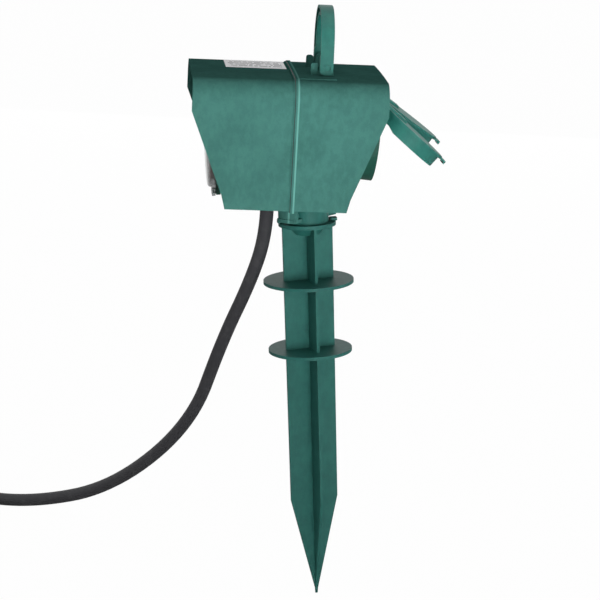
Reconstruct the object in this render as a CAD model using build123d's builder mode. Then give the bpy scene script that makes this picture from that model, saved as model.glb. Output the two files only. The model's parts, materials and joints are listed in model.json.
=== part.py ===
from build123d import *

import os
from math import cos, pi, radians, sin, sqrt, tan

# Garden multi-socket with timer on a ground spike, in millimetres.
# The origin is the tip of the spike. +Z is the head's own upright, +X runs from the timer end
# to the socket end and +Y runs away from the side wall that is nearest the viewer.

os.makedirs("parts", exist_ok=True)

# Ground spike
spike_lean = 4.2          # the spike stands a little askew in its bayonet
spike_twist = 14.0        # turn of the cross about its own axis
spike_length = 273.0      # tip to the top of the flange
flange_drop = 16.5        # head floor to the top of the flange, along the spike
spike_offset = 18.0       # head centre to the spike's axis, at the floor
point_length = 72.0
blade_width_top = 36.5
blade_width_low = 34.5
blade_thick = 1.9
disc_thick = 2.2
disc_upper_r = 31.5
disc_upper_drop = 43.4    # below the flange
disc_lower_r = 29.3
disc_lower_drop = 92.6
flange_r = 20.0
flange_thick = 2.6
neck_r = 15.0
spigot_r = 11.0
spigot_length = 15.0
spigot_gap = 0.3
wing_r = 18.6
wing_thick = 2.6
wing_width = 12.0
hook_r = 22.0
hook_wall = 2.8
hook_lip = 2.4
hook_ledge = 0.8
hook_width = 16.0
hook_angle = 43.0
bayonet_gap = 0.4
boss_wall = 2.4

# Head housing
half_length = 65.3        # head centre to the rim of either hood
foot_half = 41.0          # half length of the floor
foot_step_x = 43.2
foot_step_z = 9.0
slant_top_z = 66.0
roof_z = 88.2             # crest of the roof
crown = 0.6
shoulder_r = 14.0
width_foot = 105.0
width_slant = 118.0       # at the height where the slant ends
wall = 2.5
seam_x = 3.0
rib_width = 2.6
rib_proud = 1.3
lesser_rib_width = 1.3
lesser_rib_proud = 0.7
panel_tilt = 5.0          # both end panels look a little down
panel_x = 45.5
panel_z = 43.5
panel_thick = 2.5
gasket_width = 1.2
gasket_depth = 1.0
gasket_gap = 0.05
screw_y = 44.0
screw_zs = (13.0, 70.0)
screw_shank_r = 1.6
screw_length = 20.0
screw_head_r = 3.3
screw_head_h = 2.4
screw_boss_r = 5.2
screw_gap = 0.15
screw_grip = 6.0          # shell left under a screw's head

# Socket outlets
socket_y = 27.8
socket_base_r = 25.2
socket_base_h = 3.0
collar_r = 23.5
collar_h = 15.0
well_r = 19.8
well_depth = 17.5
mouth_r = 20.4
mouth_h = 4.0
insert_r = 21.0
insert_depth = 14.0       # reach behind the panel
insert_gap = 0.3
pin_pitch = 19.0
pin_hole_r = 2.75
contact_r = 3.4
contact_bore_r = 2.45
contact_length = 10.0
earth_width = 5.0
earth_thick = 0.8
earth_reach = 2.6

# Lids over the outlets
lid_r = 27.4
lid_thick = 2.0
lid_gap = 0.4             # lid to collar when shut
skirt_gap = 0.8           # collar to skirt when shut
skirt_wall = 1.4
skirt_h = 8.0
skirt_cut = 12.5          # skirt is full up to this height over the lid's centre
skirt_heel = 2.6          # its depth at the hinge, above that
lid_hinge_rise = 27.8     # outlet centre to the hinge pin
lid_hinge_back = 0.9      # hinge pin behind the collar's face
lid_near_angle = 40.0     # below the horizontal, as the lids stand
lid_far_angle = 34.5
hinge_pin_r = 1.5
hinge_fit = 0.06
knuckle_r = 3.0
knuckle_length = 13.0
knuckle_gap = 0.4
lug_width = 4.0
arm_length = 21.0
arm_thick = 1.6
tab_width = 15.0
tab_reach = 3.6
tab_thick = 1.2
tab_corner_r = 1.5
tab_lip = 1.2
seal_r = 23.2
seal_bore_r = 20.6

# Timer
timer_z = 41.0
timer_base_r = 36.0
timer_base_h = 3.0
timer_base_bore = 31.0
dial_r = 30.2
dial_thick = 3.2
dial_float = 0.5          # dial above the panel
dial_hub_r = 15.0
dial_hub_h = 1.2
slot_count = 48           # one switching segment each half hour
segment_r = 27.6
segment_radial = 3.6
segment_width = 2.4
segment_length = 4.6
segment_gap = 0.12
segment_travel = 1.6
cover_r = 36.5
cover_face_r = 34.6
cover_base = 3.4          # rim above the panel
cover_rim_h = 2.4
cover_h = 8.8
cover_wall = 1.6
cover_hinge_rise = 38.6
cover_hinge_out = 4.6
cover_knuckle_r = 2.3
cover_pin_r = 1.1
cover_knuckle_length = 26.0
cover_tab_width = 14.0
cover_tab_length = 5.2
gear_module = 0.8
dial_teeth = 50
pinion_teeth = 10
gear_thick = 3.0
shaft_r = 2.5
shaft_fit = 0.06
gear_depth = 4.5          # gear's face behind the panel
gear_play = 0.3           # centres set apart for backlash
shaft_length = 12.5
segment_low = 0.3         # a pressed segment above the panel
switch_x = -31.0
switch_up = -30.0
switch_length = 13.0
switch_width = 5.0
motor_angle = 35.0
motor_r = 13.0
motor_length = 14.0
motor_shaft_r = 1.2
plate_width = 64.0
plate_height = 56.0
plate_thick = 1.6

# Carrying handle
handle_x = 25.0
handle_half = 29.0        # to the outside of each leg
handle_strap = 9.0
handle_web = 2.4
handle_depth = 6.5        # depth of the strap's section, legs inward
handle_top = 133.0
handle_arch_r = 26.0
pad_z = 88.4
pad_x0 = 5.6
pad_x1 = 30.5
pad_half = 43.0
pivot_rise = 6.0
lug_drop = 5.5
lug_corner_r = 3.2
pin_recess = 1.0          # round recess in the handle over each pin's end
pin_recess_r = 2.7
pin_inset = 0.3
handle_pin_r = 1.8
ear_thick = 5.0
ear_gap = 0.4
ear_post_x = 7.6          # stop post beside each ear
ear_post_width = 5.0
ear_post_h = 8.0
ear_post_corner_r = 1.8

# Cable
cable_r = 4.75
exit_x = -9.0
gland_below = 8.0
gland_above = 12.0
gland_top_r = 8.6
gland_low_r = 6.6
gland_collar_r = 9.8
gland_collar_h = 2.0
gland_gap = 0.1
coil_rest_r = 58.0        # outermost turn
coil_shrink = 13.6        # outermost to innermost turn
coil_turns = 3
coil_layer = 10.3
cable_floor = 0.7         # the tie's strap passes under the sheath
coil_x = -330.0
coil_y = 132.0
plug_r = 19.0
plug_length = 34.0
plug_neck_r = 7.4
plug_neck_length = 22.0
plug_pin_r = 2.4
plug_pin_length = 19.0
plug_pin_base = 10.0      # the sleeve of a pin inside the plug
tie_width = 8.0
tie_thick = 0.5
tie_slack = 0.1
wire_r = 1.25
block_x = -31.5
block_y = 0.0
block_width = 12.0
block_length = 33.0
block_height = 14.0
micro_x = 18.0
micro_up = -14.0
micro_length = 20.0
micro_width = 10.0
micro_depth = 6.5
busbar_thick = 0.8
busbar_width = 3.0
busbar_up = 6.0
bridge_back = 3.4         # earth bridge behind the insert

# Places worked out from the sizes above
lean = radians(spike_lean)
axis_length = spike_length + flange_drop
head_x = -spike_offset - axis_length * sin(lean)
head_z = axis_length * cos(lean)
tilt = radians(panel_tilt)


def level(z, x=0.0, y=0.0):
    """A horizontal plane of the head, z above its floor."""
    return Plane(origin=(head_x + x, y, head_z + z), x_dir=(1, 0, 0), z_dir=(0, 0, 1))


def across(y, x=0.0, z=0.0):
    """An upright plane along the head: sketch x is +X and sketch y is +Z."""
    return Plane(origin=(head_x + x, y, head_z + z), x_dir=(1, 0, 0), z_dir=(0, -1, 0))


def station(x, y=0.0, z=0.0):
    """A plane square to the head's length: sketch x is +Y and sketch y is +Z."""
    return Plane(origin=(head_x + x, y, head_z + z), x_dir=(0, 1, 0), z_dir=(1, 0, 0))


def panel_shift(z):
    """How much further out a tilted panel stands at height z."""
    return (z - panel_z) * tan(tilt)


def socket_face(y, out=0.0, z=panel_z):
    """The socket panel's outer face, looking out of it, at width y and height z."""
    x = head_x + panel_x + panel_shift(z)
    base = Plane(origin=(x, y, head_z + z), x_dir=(0, 1, 0), z_dir=(cos(tilt), 0, -sin(tilt)))
    return base.offset(out)


def timer_face(out=0.0, z=timer_z, y=0.0):
    """The timer panel's outer face, looking out of it."""
    x = head_x - panel_x - panel_shift(z)
    base = Plane(origin=(x, y, head_z + z), x_dir=(0, -1, 0), z_dir=(-cos(tilt), 0, -sin(tilt)))
    return base.offset(out)


spike_axis = Plane(origin=(0, 0, 0), x_dir=(cos(lean), 0, sin(lean)), z_dir=(-sin(lean), 0, cos(lean)))


def spike_level(h):
    """A plane square to the spike, h above its tip."""
    return spike_axis.offset(h)


def spike_upright(turn):
    """A plane through the spike's axis: sketch y runs up the axis."""
    sideways = spike_axis.x_dir * cos(radians(turn)) + spike_axis.y_dir * sin(radians(turn))
    return Plane(origin=(0, 0, 0), x_dir=sideways, z_dir=sideways.cross(spike_axis.z_dir))


def save(part, name):
    """Label a finished piece and write it."""
    part.label = name
    export_step(part, f"parts/{name}.step")
    return part


def head_bar(x0, x1, grow=0.0):
    """The head's cross-section, grown outwards, as a bar from x0 to x1."""
    half_foot = width_foot / 2 + grow
    half_top = width_slant / 2 + grow
    eave_z = roof_z - crown + grow
    shoulder_z = eave_z - shoulder_r - grow
    shoulder_y = half_top - shoulder_r - grow
    with BuildPart() as bar:
        with BuildSketch(station(x0)):
            with BuildLine():
                Polyline((-half_top, shoulder_z), (-half_foot, -grow), (half_foot, -grow),
                         (half_top, shoulder_z))
                RadiusArc((half_top, shoulder_z), (shoulder_y, eave_z), -shoulder_r - grow)
                ThreePointArc((shoulder_y, eave_z), (0, roof_z + grow), (-shoulder_y, eave_z))
                RadiusArc((-shoulder_y, eave_z), (-half_top, shoulder_z), -shoulder_r - grow)
            make_face()
        extrude(amount=x1 - x0)
    return bar.part


def head_profile(grow=0.0):
    """The head seen from the side, as a wide bar along Y."""
    top = roof_z + 10
    with BuildPart() as bar:
        with BuildSketch(across(0)):
            with BuildLine():
                Polyline((-foot_half, -10), (-foot_half, 0), (-foot_step_x, foot_step_z),
                         (-half_length, slant_top_z), (-half_length, top), (half_length, top),
                         (half_length, slant_top_z), (foot_step_x, foot_step_z), (foot_half, 0),
                         (foot_half, -10), close=True)
            make_face()
            if grow:
                offset(amount=grow)
        extrude(amount=width_slant, both=True)
    return bar.part


def panel_slab(face):
    """An end panel, trimmed to the head's inside."""
    with BuildPart() as slab:
        with BuildSketch(face):
            Rectangle(width_slant + 20, 2 * roof_z + 40)
        extrude(amount=-panel_thick)
        add(head_bar(-half_length, half_length, -wall / 2), mode=Mode.INTERSECT)
    return slab.part


def screw_boss(face, x_end):
    """The four screw bosses of one shell, from its panel to the seam."""
    with BuildPart() as bosses:
        with BuildSketch(station(seam_x)):
            for z in screw_zs:
                with Locations((-screw_y, z), (screw_y, z)):
                    Circle(screw_boss_r)
        extrude(amount=x_end - seam_x)
        with BuildSketch(face):
            Rectangle(width_slant + 20, 2 * roof_z + 40)
        extrude(amount=half_length, mode=Mode.SUBTRACT)
        add(head_bar(-half_length, half_length, -wall / 2), mode=Mode.INTERSECT)
    return bosses.part


socket_panel_plane = socket_face(0)
timer_panel_plane = timer_face(0, panel_z)
screw_seat = seam_x - screw_grip
screw_places = [(sy * screw_y, z) for sy in (-1, 1) for z in screw_zs]


def seam_ring(gap):
    """The ring in the seam's rim that holds the seal, or the seal itself with a gap each side."""
    with BuildPart() as ring:
        add(head_bar(seam_x - gasket_depth, seam_x, (gasket_width - wall) / 2 - gap))
        add(head_bar(seam_x - gasket_depth - 1, seam_x + 1, (-gasket_width - wall) / 2 + gap),
            mode=Mode.SUBTRACT)
    return ring.part


# Timer-end shell of the housing
timer_screw_bosses = screw_boss(timer_panel_plane, -half_length)
with BuildPart() as timer_shell:
    add(head_bar(seam_x, -half_length))
    add(head_bar(seam_x, seam_x - lesser_rib_width, lesser_rib_proud))
    add(head_profile(), mode=Mode.INTERSECT)
    add(head_bar(seam_x, -half_length - 1, -wall), mode=Mode.SUBTRACT)
    add(panel_slab(timer_panel_plane))
    add(timer_screw_bosses)
    add(head_profile(), mode=Mode.INTERSECT)
    # groove for the seal in the rim
    add(seam_ring(0), mode=Mode.SUBTRACT)
    # shaft hole, screw holes and their deep counterbores
    with BuildSketch(timer_face(1)):
        Circle(shaft_r + 1.5)
    extrude(amount=-panel_thick - 2, mode=Mode.SUBTRACT)
    with BuildSketch(station(seam_x)):
        for y, z in screw_places:
            with Locations((y, z)):
                Circle(screw_shank_r + screw_gap)
    extrude(amount=-2 * half_length, mode=Mode.SUBTRACT)
    with BuildSketch(station(screw_seat)):
        for y, z in screw_places:
            with Locations((y, z)):
                Circle(screw_head_r + screw_gap)
    extrude(amount=-2 * half_length, mode=Mode.SUBTRACT)
    # cable entry through the floor
    with BuildSketch(level(-1, exit_x)):
        Circle(gland_top_r + gland_gap)
    extrude(amount=wall + 2, mode=Mode.SUBTRACT)
save(timer_shell.part, "timer_shell")

# Socket-end shell of the housing, with the handle's seat, the lids' hinge lugs, the neck's cup
# and the two bayonet hooks
hook_low = spike_length + 2.3
cup_r = spigot_r + spigot_gap + boss_wall
cup_top = axis_length + spigot_length + spigot_gap
pivot_z = pad_z + pivot_rise
ear_y = handle_half - handle_depth - ear_gap - ear_thick / 2
lug_y = knuckle_length / 2 + knuckle_gap + lug_width / 2


def lid_hinge(y, along=0.0, out=0.0):
    """A lid's own plane through its hinge pin: sketch y points from the lid's centre to the pin."""
    a = radians(lid_near_angle if y < 0 else lid_far_angle)
    pin_x = head_x + panel_x + lid_hinge_rise * sin(tilt) + (collar_h - lid_hinge_back) * cos(tilt)
    pin_z = head_z + panel_z + lid_hinge_rise * cos(tilt) - (collar_h - lid_hinge_back) * sin(tilt)
    origin = (pin_x - along * cos(a) + out * sin(a), y, pin_z + along * sin(a) + out * cos(a))
    return Plane(origin=origin, x_dir=(0, 1, 0), z_dir=(sin(a), 0, cos(a)))


def across_lid(y, width):
    """An upright plane across a lid's hinge, half a width ahead: sketch x looks out of the panel."""
    pin = lid_hinge(y).origin
    return Plane(origin=(pin.X, y - width / 2, pin.Z), x_dir=socket_face(0).z_dir, z_dir=(0, -1, 0))


socket_screw_bosses = screw_boss(socket_panel_plane, half_length)
with BuildPart() as hook_pair:
    with BuildSketch(spike_level(hook_low)):
        Circle(hook_r + hook_ledge)
        Circle(neck_r + bayonet_gap, mode=Mode.SUBTRACT)
        Rectangle(3 * hook_r, hook_width, rotation=hook_angle, mode=Mode.INTERSECT)
    extrude(amount=hook_lip)
    with BuildSketch(spike_level(hook_low)):
        Circle(hook_r)
        Circle(hook_r - hook_wall, mode=Mode.SUBTRACT)
        Rectangle(3 * hook_r, hook_width, rotation=hook_angle, mode=Mode.INTERSECT)
    extrude(amount=axis_length - hook_low + hook_r)
    with BuildSketch(level(0, spike_offset)):
        Rectangle(6 * hook_r, 6 * hook_r)
    extrude(amount=3 * hook_r, mode=Mode.SUBTRACT)
    add(head_bar(seam_x, seam_x - lesser_rib_width - 0.1, lesser_rib_proud + 0.1), mode=Mode.SUBTRACT)
with BuildPart() as neck_cup:
    with BuildSketch(spike_level(axis_length - cup_r)):
        Circle(cup_r)
    extrude(amount=cup_top + boss_wall - axis_length + cup_r)
    with BuildSketch(level(wall / 2, spike_offset)):
        Rectangle(6 * hook_r, 6 * hook_r)
    extrude(amount=-3 * hook_r, mode=Mode.SUBTRACT)
with BuildPart() as socket_shell:
    add(head_bar(seam_x, half_length))
    add(head_bar(seam_x, seam_x + rib_width, rib_proud))
    with BuildSketch(level(pad_z - crown - wall, (pad_x0 + pad_x1) / 2)):
        Rectangle(pad_x1 - pad_x0, 2 * pad_half)
    extrude(amount=crown + wall)
    add(head_profile(), mode=Mode.INTERSECT)
    add(head_bar(seam_x, half_length + 1, -wall), mode=Mode.SUBTRACT)
    add(panel_slab(socket_panel_plane))
    add(socket_screw_bosses)
    add(head_profile(), mode=Mode.INTERSECT)
    add(neck_cup.part)
    add(hook_pair.part)
    # ears that the handle turns on
    for side in (-1, 1):
        with BuildSketch(across(side * ear_y + ear_thick / 2, handle_x, pad_z)):
            with BuildLine():
                Polyline((-handle_strap / 2 - 1.5, -1), (handle_strap / 2 + 1.5, -1),
                         (handle_strap / 2 - 0.5, pivot_rise))
                RadiusArc((handle_strap / 2 - 0.5, pivot_rise), (0.5 - handle_strap / 2, pivot_rise),
                          0.5 - handle_strap / 2)
                Line((0.5 - handle_strap / 2, pivot_rise), (-handle_strap / 2 - 1.5, -1))
            make_face()
            with Locations((-ear_post_x, ear_post_h / 2 - 1)):
                RectangleRounded(ear_post_width, ear_post_h + 2, ear_post_corner_r)
        extrude(amount=ear_thick)
    with BuildSketch(across(0, handle_x, pivot_z)):
        Circle(handle_pin_r)
    extrude(amount=handle_half, both=True, mode=Mode.SUBTRACT)
    # lugs for the lids' pins
    for y in (-socket_y, socket_y):
        for side in (-1, 1):
            with BuildSketch(across_lid(y + side * lug_y, -lug_width)):
                Circle(knuckle_r + 0.6)
                with Locations((-(collar_h - lid_hinge_back + 1) / 2, 0)):
                    Rectangle(collar_h - lid_hinge_back + 1, 2 * knuckle_r + 1.2)
            extrude(amount=lug_width)
        with BuildSketch(across_lid(y, 0)):
            Circle(hinge_pin_r)
        extrude(amount=lug_y + lug_width, both=True, mode=Mode.SUBTRACT)
    # openings for the outlets, screw holes and the cup's bore
    with BuildSketch(socket_face(0, 1)):
        with Locations((-socket_y, 0), (socket_y, 0)):
            Circle(insert_r + insert_gap)
    extrude(amount=-panel_thick - 2, mode=Mode.SUBTRACT)
    with BuildSketch(station(seam_x)):
        for y, z in screw_places:
            with Locations((y, z)):
                Circle(screw_shank_r)
    extrude(amount=screw_length - screw_grip + 1, mode=Mode.SUBTRACT)
    with BuildSketch(spike_level(axis_length - cup_r)):
        Circle(spigot_r + spigot_gap)
    extrude(amount=cup_top - axis_length + cup_r, mode=Mode.SUBTRACT)
save(socket_shell.part, "socket_shell")

# Seal in the seam's groove
shell_gasket = seam_ring(gasket_gap)
save(shell_gasket, "shell_gasket")

# Four screws that hold the shells together
with BuildPart() as shell_screws:
    with BuildSketch(station(screw_seat)):
        for y, z in screw_places:
            with Locations((y, z)):
                Circle(screw_head_r)
    extrude(amount=-screw_head_h)
    with BuildSketch(station(screw_seat)):
        for y, z in screw_places:
            with Locations((y, z)):
                Circle(screw_shank_r - 0.02)
    extrude(amount=screw_length)
    with BuildSketch(station(screw_seat - screw_head_h)):
        for y, z in screw_places:
            with Locations((y, z)):
                Rectangle(4.2, 0.9)
                Rectangle(0.9, 4.2)
    extrude(amount=1.4, mode=Mode.SUBTRACT)
save(shell_screws.part, "shell_screws")

# Ground spike: cross of two blades, two step discs, flange, neck and bayonet wings
wing_low = hook_low + hook_lip + bayonet_gap
with BuildPart() as ground_spike:
    for turn in (spike_twist, spike_twist + 90):
        with BuildSketch(spike_upright(turn)):
            with BuildLine():
                Polyline((0, 0), (blade_width_low / 2, point_length),
                         (blade_width_top / 2, spike_length - flange_thick / 2),
                         (-blade_width_top / 2, spike_length - flange_thick / 2),
                         (-blade_width_low / 2, point_length), close=True)
            make_face()
        extrude(amount=blade_thick / 2, both=True)
    for disc_r, drop in ((disc_upper_r, disc_upper_drop), (disc_lower_r, disc_lower_drop)):
        with BuildSketch(spike_level(spike_length - drop)):
            Circle(disc_r)
        extrude(amount=disc_thick)
        # fillet-like root ring under each disc
        with BuildSketch(spike_level(spike_length - drop)):
            Circle(blade_width_top / 2 - 4)
        extrude(amount=-3.0, taper=35)
    with BuildSketch(spike_level(spike_length - flange_thick)):
        Circle(flange_r)
    extrude(amount=flange_thick)
    with BuildSketch(spike_level(spike_length - flange_thick)):
        Circle(neck_r - 1)
    extrude(amount=-6.0, taper=40)
    # stop lugs on the flange
    with BuildSketch(spike_level(spike_length)):
        Circle(flange_r + 0.9)
        Circle(flange_r - 3.6, mode=Mode.SUBTRACT)
        Rectangle(3 * flange_r, 6.5, rotation=spike_twist - 10, mode=Mode.INTERSECT)
    extrude(amount=1.8)
    with BuildSketch(spike_level(spike_length)):
        Circle(neck_r)
    extrude(amount=axis_length - spike_length - neck_r * tan(lean) - bayonet_gap)
    with BuildSketch(spike_level(wing_low)):
        Circle(wing_r)
        Rectangle(3 * wing_r, wing_width, rotation=hook_angle, mode=Mode.INTERSECT)
    extrude(amount=wing_thick)
    with BuildSketch(spike_level(spike_length)):
        Circle(spigot_r)
    extrude(amount=axis_length + spigot_length - spike_length)
save(ground_spike.part, "ground_spike")

# Carrying handle: a U of I-shaped section with a bored lug at each foot


def handle_band(outside, inside, x_half):
    """A U-shaped band between two depths from the handle's outside, x_half to either side."""
    low = pivot_z
    with BuildPart() as band:
        with BuildSketch(station(handle_x - x_half)):
            for depth, mode in ((outside, Mode.ADD), (inside, Mode.SUBTRACT)):
                half = handle_half - depth
                top = handle_top - depth
                with BuildLine():
                    Polyline((-half, low), (half, low), (half, top - handle_arch_r + depth))
                    RadiusArc((half, top - handle_arch_r + depth), (half - handle_arch_r + depth, top),
                              depth - handle_arch_r)
                    Line((half - handle_arch_r + depth, top), (handle_arch_r - depth - half, top))
                    RadiusArc((handle_arch_r - depth - half, top), (-half, top - handle_arch_r + depth),
                              depth - handle_arch_r)
                    Line((-half, top - handle_arch_r + depth), (-half, low))
                make_face(mode=mode)
        extrude(amount=2 * x_half)
    return band.part


with BuildPart() as handle:
    add(handle_band(0, 2.0, handle_strap / 2))
    add(handle_band(1.0, handle_depth - 1.0, handle_web / 2))
    add(handle_band(handle_depth - 1.8, handle_depth, handle_strap / 2 - 0.8))
    for y in (handle_depth - handle_half, handle_half):
        with BuildSketch(across(y, handle_x, pivot_z)):
            with Locations((0, 0.8)):
                Rectangle(handle_strap, 2 * lug_drop + 1.6)
            fillet(vertices().group_by(Axis.Y)[0], lug_corner_r)
        extrude(amount=handle_depth)
    with BuildSketch(across(0, handle_x, pivot_z)):
        Circle(handle_pin_r + hinge_fit)
    extrude(amount=handle_half + 1, both=True, mode=Mode.SUBTRACT)
    for side in (-1, 1):
        with BuildSketch(across(side * handle_half, handle_x, pivot_z)):
            Circle(pin_recess_r)
        extrude(amount=side * pin_recess, mode=Mode.SUBTRACT)
save(handle.part, "handle")

with BuildPart() as handle_pins:
    for side in (-1, 1):
        inner = side * (ear_y - ear_thick / 2)
        outer = side * (handle_half - pin_inset)
        with BuildSketch(across(inner, handle_x, pivot_z)):
            Circle(handle_pin_r)
        extrude(amount=inner - outer)
save(handle_pins.part, "handle_pins")

# Outlets: moulded insert, sprung sleeves for the pins and the two earth clips of each
well_floor = collar_h - well_depth
clip_r = well_r - 0.3


def socket_insert(y):
    """One outlet's insert: base ring, collar, well and the block with the pin holes."""
    with BuildPart() as insert:
        with BuildSketch(socket_face(y)):
            Circle(socket_base_r)
        extrude(amount=socket_base_h)
        # clearance under the lid's hinge lugs
        with BuildSketch(socket_face(y)):
            with Locations((0, lid_hinge_rise)):
                Rectangle(2 * lug_y + lug_width + 1.0, 2 * (knuckle_r + 0.6) + 0.6)
        extrude(amount=socket_base_h, mode=Mode.SUBTRACT)
        with BuildSketch(socket_face(y)):
            Circle(collar_r)
        extrude(amount=collar_h)
        with BuildSketch(socket_face(y)):
            Circle(insert_r)
        extrude(amount=-insert_depth)
        with BuildSketch(socket_face(y, collar_h)):
            Circle(well_r)
        extrude(amount=-well_depth, mode=Mode.SUBTRACT)
        with BuildSketch(socket_face(y, collar_h)):
            Circle(mouth_r)
        extrude(amount=-mouth_h, mode=Mode.SUBTRACT)
        # guide ribs at either side of the well
        for side in (-1, 1):
            with BuildSketch(socket_face(y + side * (well_r - 0.2), well_floor)):
                Rectangle(2.4, 5.0)
            extrude(amount=well_depth - mouth_h - 1)
        with BuildSketch(socket_face(y, well_floor)):
            with Locations((-pin_pitch / 2, 0), (pin_pitch / 2, 0)):
                Circle(pin_hole_r)
        extrude(amount=-insert_depth, mode=Mode.SUBTRACT)
        with BuildSketch(socket_face(y, -insert_depth)):
            with Locations((-pin_pitch / 2, 0), (pin_pitch / 2, 0)):
                Circle(contact_r)
        extrude(amount=contact_length, mode=Mode.SUBTRACT)
        # slots that the earth clips come up through
        for up in (-1, 1):
            with BuildSketch(socket_face(y, well_floor)):
                with Locations((0, up * (well_r - earth_reach / 2 - 0.1))):
                    Rectangle(earth_width + 0.4, earth_reach + 0.2)
            extrude(amount=-insert_depth, mode=Mode.SUBTRACT)
    return insert.part


def socket_contacts(y):
    """The two slotted brass sleeves that grip a plug's pins."""
    with BuildPart() as contacts:
        for side in (-1, 1):
            place = y + side * pin_pitch / 2
            with BuildSketch(socket_face(place, -insert_depth)):
                Circle(contact_r - 0.05)
                Circle(contact_bore_r, mode=Mode.SUBTRACT)
                Rectangle(3 * contact_r, 0.8, mode=Mode.SUBTRACT)
            extrude(amount=contact_length - 0.1)
            with BuildSketch(socket_face(place, -insert_depth)):
                Circle(contact_r - 0.05)
            extrude(amount=-1.0)
    return contacts.part


def earth_clips(y):
    """Two bent strips, above and below, joined by a bridge behind the insert."""
    edge = clip_r
    with BuildPart() as clips:
        with BuildSketch(Plane(origin=socket_face(y - earth_width / 2).origin,
                               x_dir=socket_face(0).z_dir, z_dir=(0, -1, 0))):
            for up in (-1, 1):
                with BuildLine():
                    Polyline((-insert_depth - bridge_back, up * (edge - earth_thick)),
                             (-insert_depth - bridge_back, up * edge), (collar_h - mouth_h - 5, up * edge),
                             (collar_h - mouth_h - 8, up * (edge - earth_reach)),
                             (collar_h - mouth_h - 9, up * (edge - earth_reach)),
                             (collar_h - mouth_h - 6, up * (edge - earth_thick)), close=True)
                make_face()
            with Locations((-insert_depth - bridge_back + earth_thick / 2, 0)):
                Rectangle(earth_thick, 2 * edge)
        extrude(amount=-earth_width)
    return clips.part


for side, y in (("near", -socket_y), ("far", socket_y)):
    save(socket_insert(y), f"socket_insert_{side}")
    save(socket_contacts(y), f"contacts_{side}")
    save(earth_clips(y), f"earth_clips_{side}")

# Lids, drawn half open about their hinge pins, with sealing rings and pins
lid_face = lid_hinge_back + lid_gap       # lid's inner face in front of the pin
skirt_bore = collar_r + skirt_gap


def socket_lid(y):
    """A round lid with its skirt, hinge arm, knuckle and finger tab."""
    centre = -lid_hinge_rise
    tab_y = centre - lid_r - tab_reach
    with BuildPart() as lid:
        with BuildSketch(lid_hinge(y, 0, lid_face)):
            with Locations((0, centre)):
                Circle(lid_r)
            with Locations((-lug_y, 0), (lug_y, 0)):
                Rectangle(lug_width + 2 * knuckle_gap, 2 * knuckle_r + 2.0, mode=Mode.SUBTRACT)
            with Locations((0, -arm_length / 2)):
                Rectangle(knuckle_length, arm_length)
        extrude(amount=lid_thick)
        with BuildSketch(lid_hinge(y, 0, lid_face)):
            with Locations((0, (tab_y + centre - lid_r) / 2 + 1)):
                RectangleRounded(tab_width, tab_reach + 2, tab_corner_r)
        extrude(amount=tab_thick)
        # raised pad of the hinge arm
        with BuildSketch(lid_hinge(y, 0, lid_face + lid_thick)):
            with Locations((0, -arm_length / 2)):
                Rectangle(knuckle_length, arm_length)
        extrude(amount=arm_thick, taper=25)
        # skirt, cut down towards the hinge so that it swings clear of the collar
        with BuildPart(mode=Mode.PRIVATE) as skirt:
            with BuildSketch(lid_hinge(y, 0, lid_face)):
                with Locations((0, centre)):
                    Circle(skirt_bore + skirt_wall)
                    Circle(skirt_bore, mode=Mode.SUBTRACT)
                Rectangle(2 * lug_y + lug_width + 2 * knuckle_gap, 4 * knuckle_r, mode=Mode.SUBTRACT)
            extrude(amount=-skirt_h)
            side_plane = Plane(origin=lid_hinge(y, 0, lid_face).origin + Vector(0, -lid_r, 0),
                               x_dir=lid_hinge(y).y_dir, z_dir=(0, 1, 0))
            with BuildSketch(side_plane):
                Polygon((centre + skirt_cut, -skirt_h - 1), (centre + skirt_cut, -skirt_h),
                        (centre + lid_r, -skirt_heel), (centre + lid_r + 1, -skirt_h - 1), align=None)
            extrude(amount=2 * lid_r, mode=Mode.SUBTRACT)
        add(skirt.part)
        # lip turned down at the tab's end
        with BuildSketch(lid_hinge(y, 0, lid_face)):
            with Locations((0, tab_y + tab_thick / 2)):
                Rectangle(tab_width - 2 * tab_corner_r, tab_thick)
        extrude(amount=-tab_lip)
        with BuildSketch(across_lid(y, knuckle_length)):
            Circle(knuckle_r)
        extrude(amount=-knuckle_length)
        with BuildSketch(across_lid(y, knuckle_length)):
            Circle(hinge_pin_r + hinge_fit)
        extrude(amount=-knuckle_length, mode=Mode.SUBTRACT)
    return lid.part


def lid_seal(y):
    """The rubber ring inside a lid that meets the collar's face."""
    with BuildPart() as seal:
        with BuildSketch(lid_hinge(y, 0, lid_face)):
            with Locations((0, -lid_hinge_rise)):
                Circle(seal_r)
                Circle(seal_bore_r, mode=Mode.SUBTRACT)
        extrude(amount=-(lid_gap - 0.1))
    return seal.part


with BuildPart() as lid_pins:
    for y in (-socket_y, socket_y):
        with BuildSketch(across_lid(y, 2 * (lug_y + lug_width / 2) + 1.0)):
            Circle(hinge_pin_r)
        extrude(amount=-2 * (lug_y + lug_width / 2) - 2.0)
save(lid_pins.part, "lid_pins")
for side, y in (("near", -socket_y), ("far", socket_y)):
    save(socket_lid(y), f"lid_{side}")
    save(lid_seal(y), f"lid_seal_{side}")

# Timer: base ring on the panel, dial with its segments, cover and override switch


def timer_across(up, out, y):
    """An upright plane across the timer, at a height, a distance out and a width y.

    Sketch x looks back at the panel.
    """
    place = timer_face(out).origin + timer_face().y_dir * up
    return Plane(origin=(place.X, y, place.Z), x_dir=timer_face().z_dir * -1, z_dir=(0, -1, 0))


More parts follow.
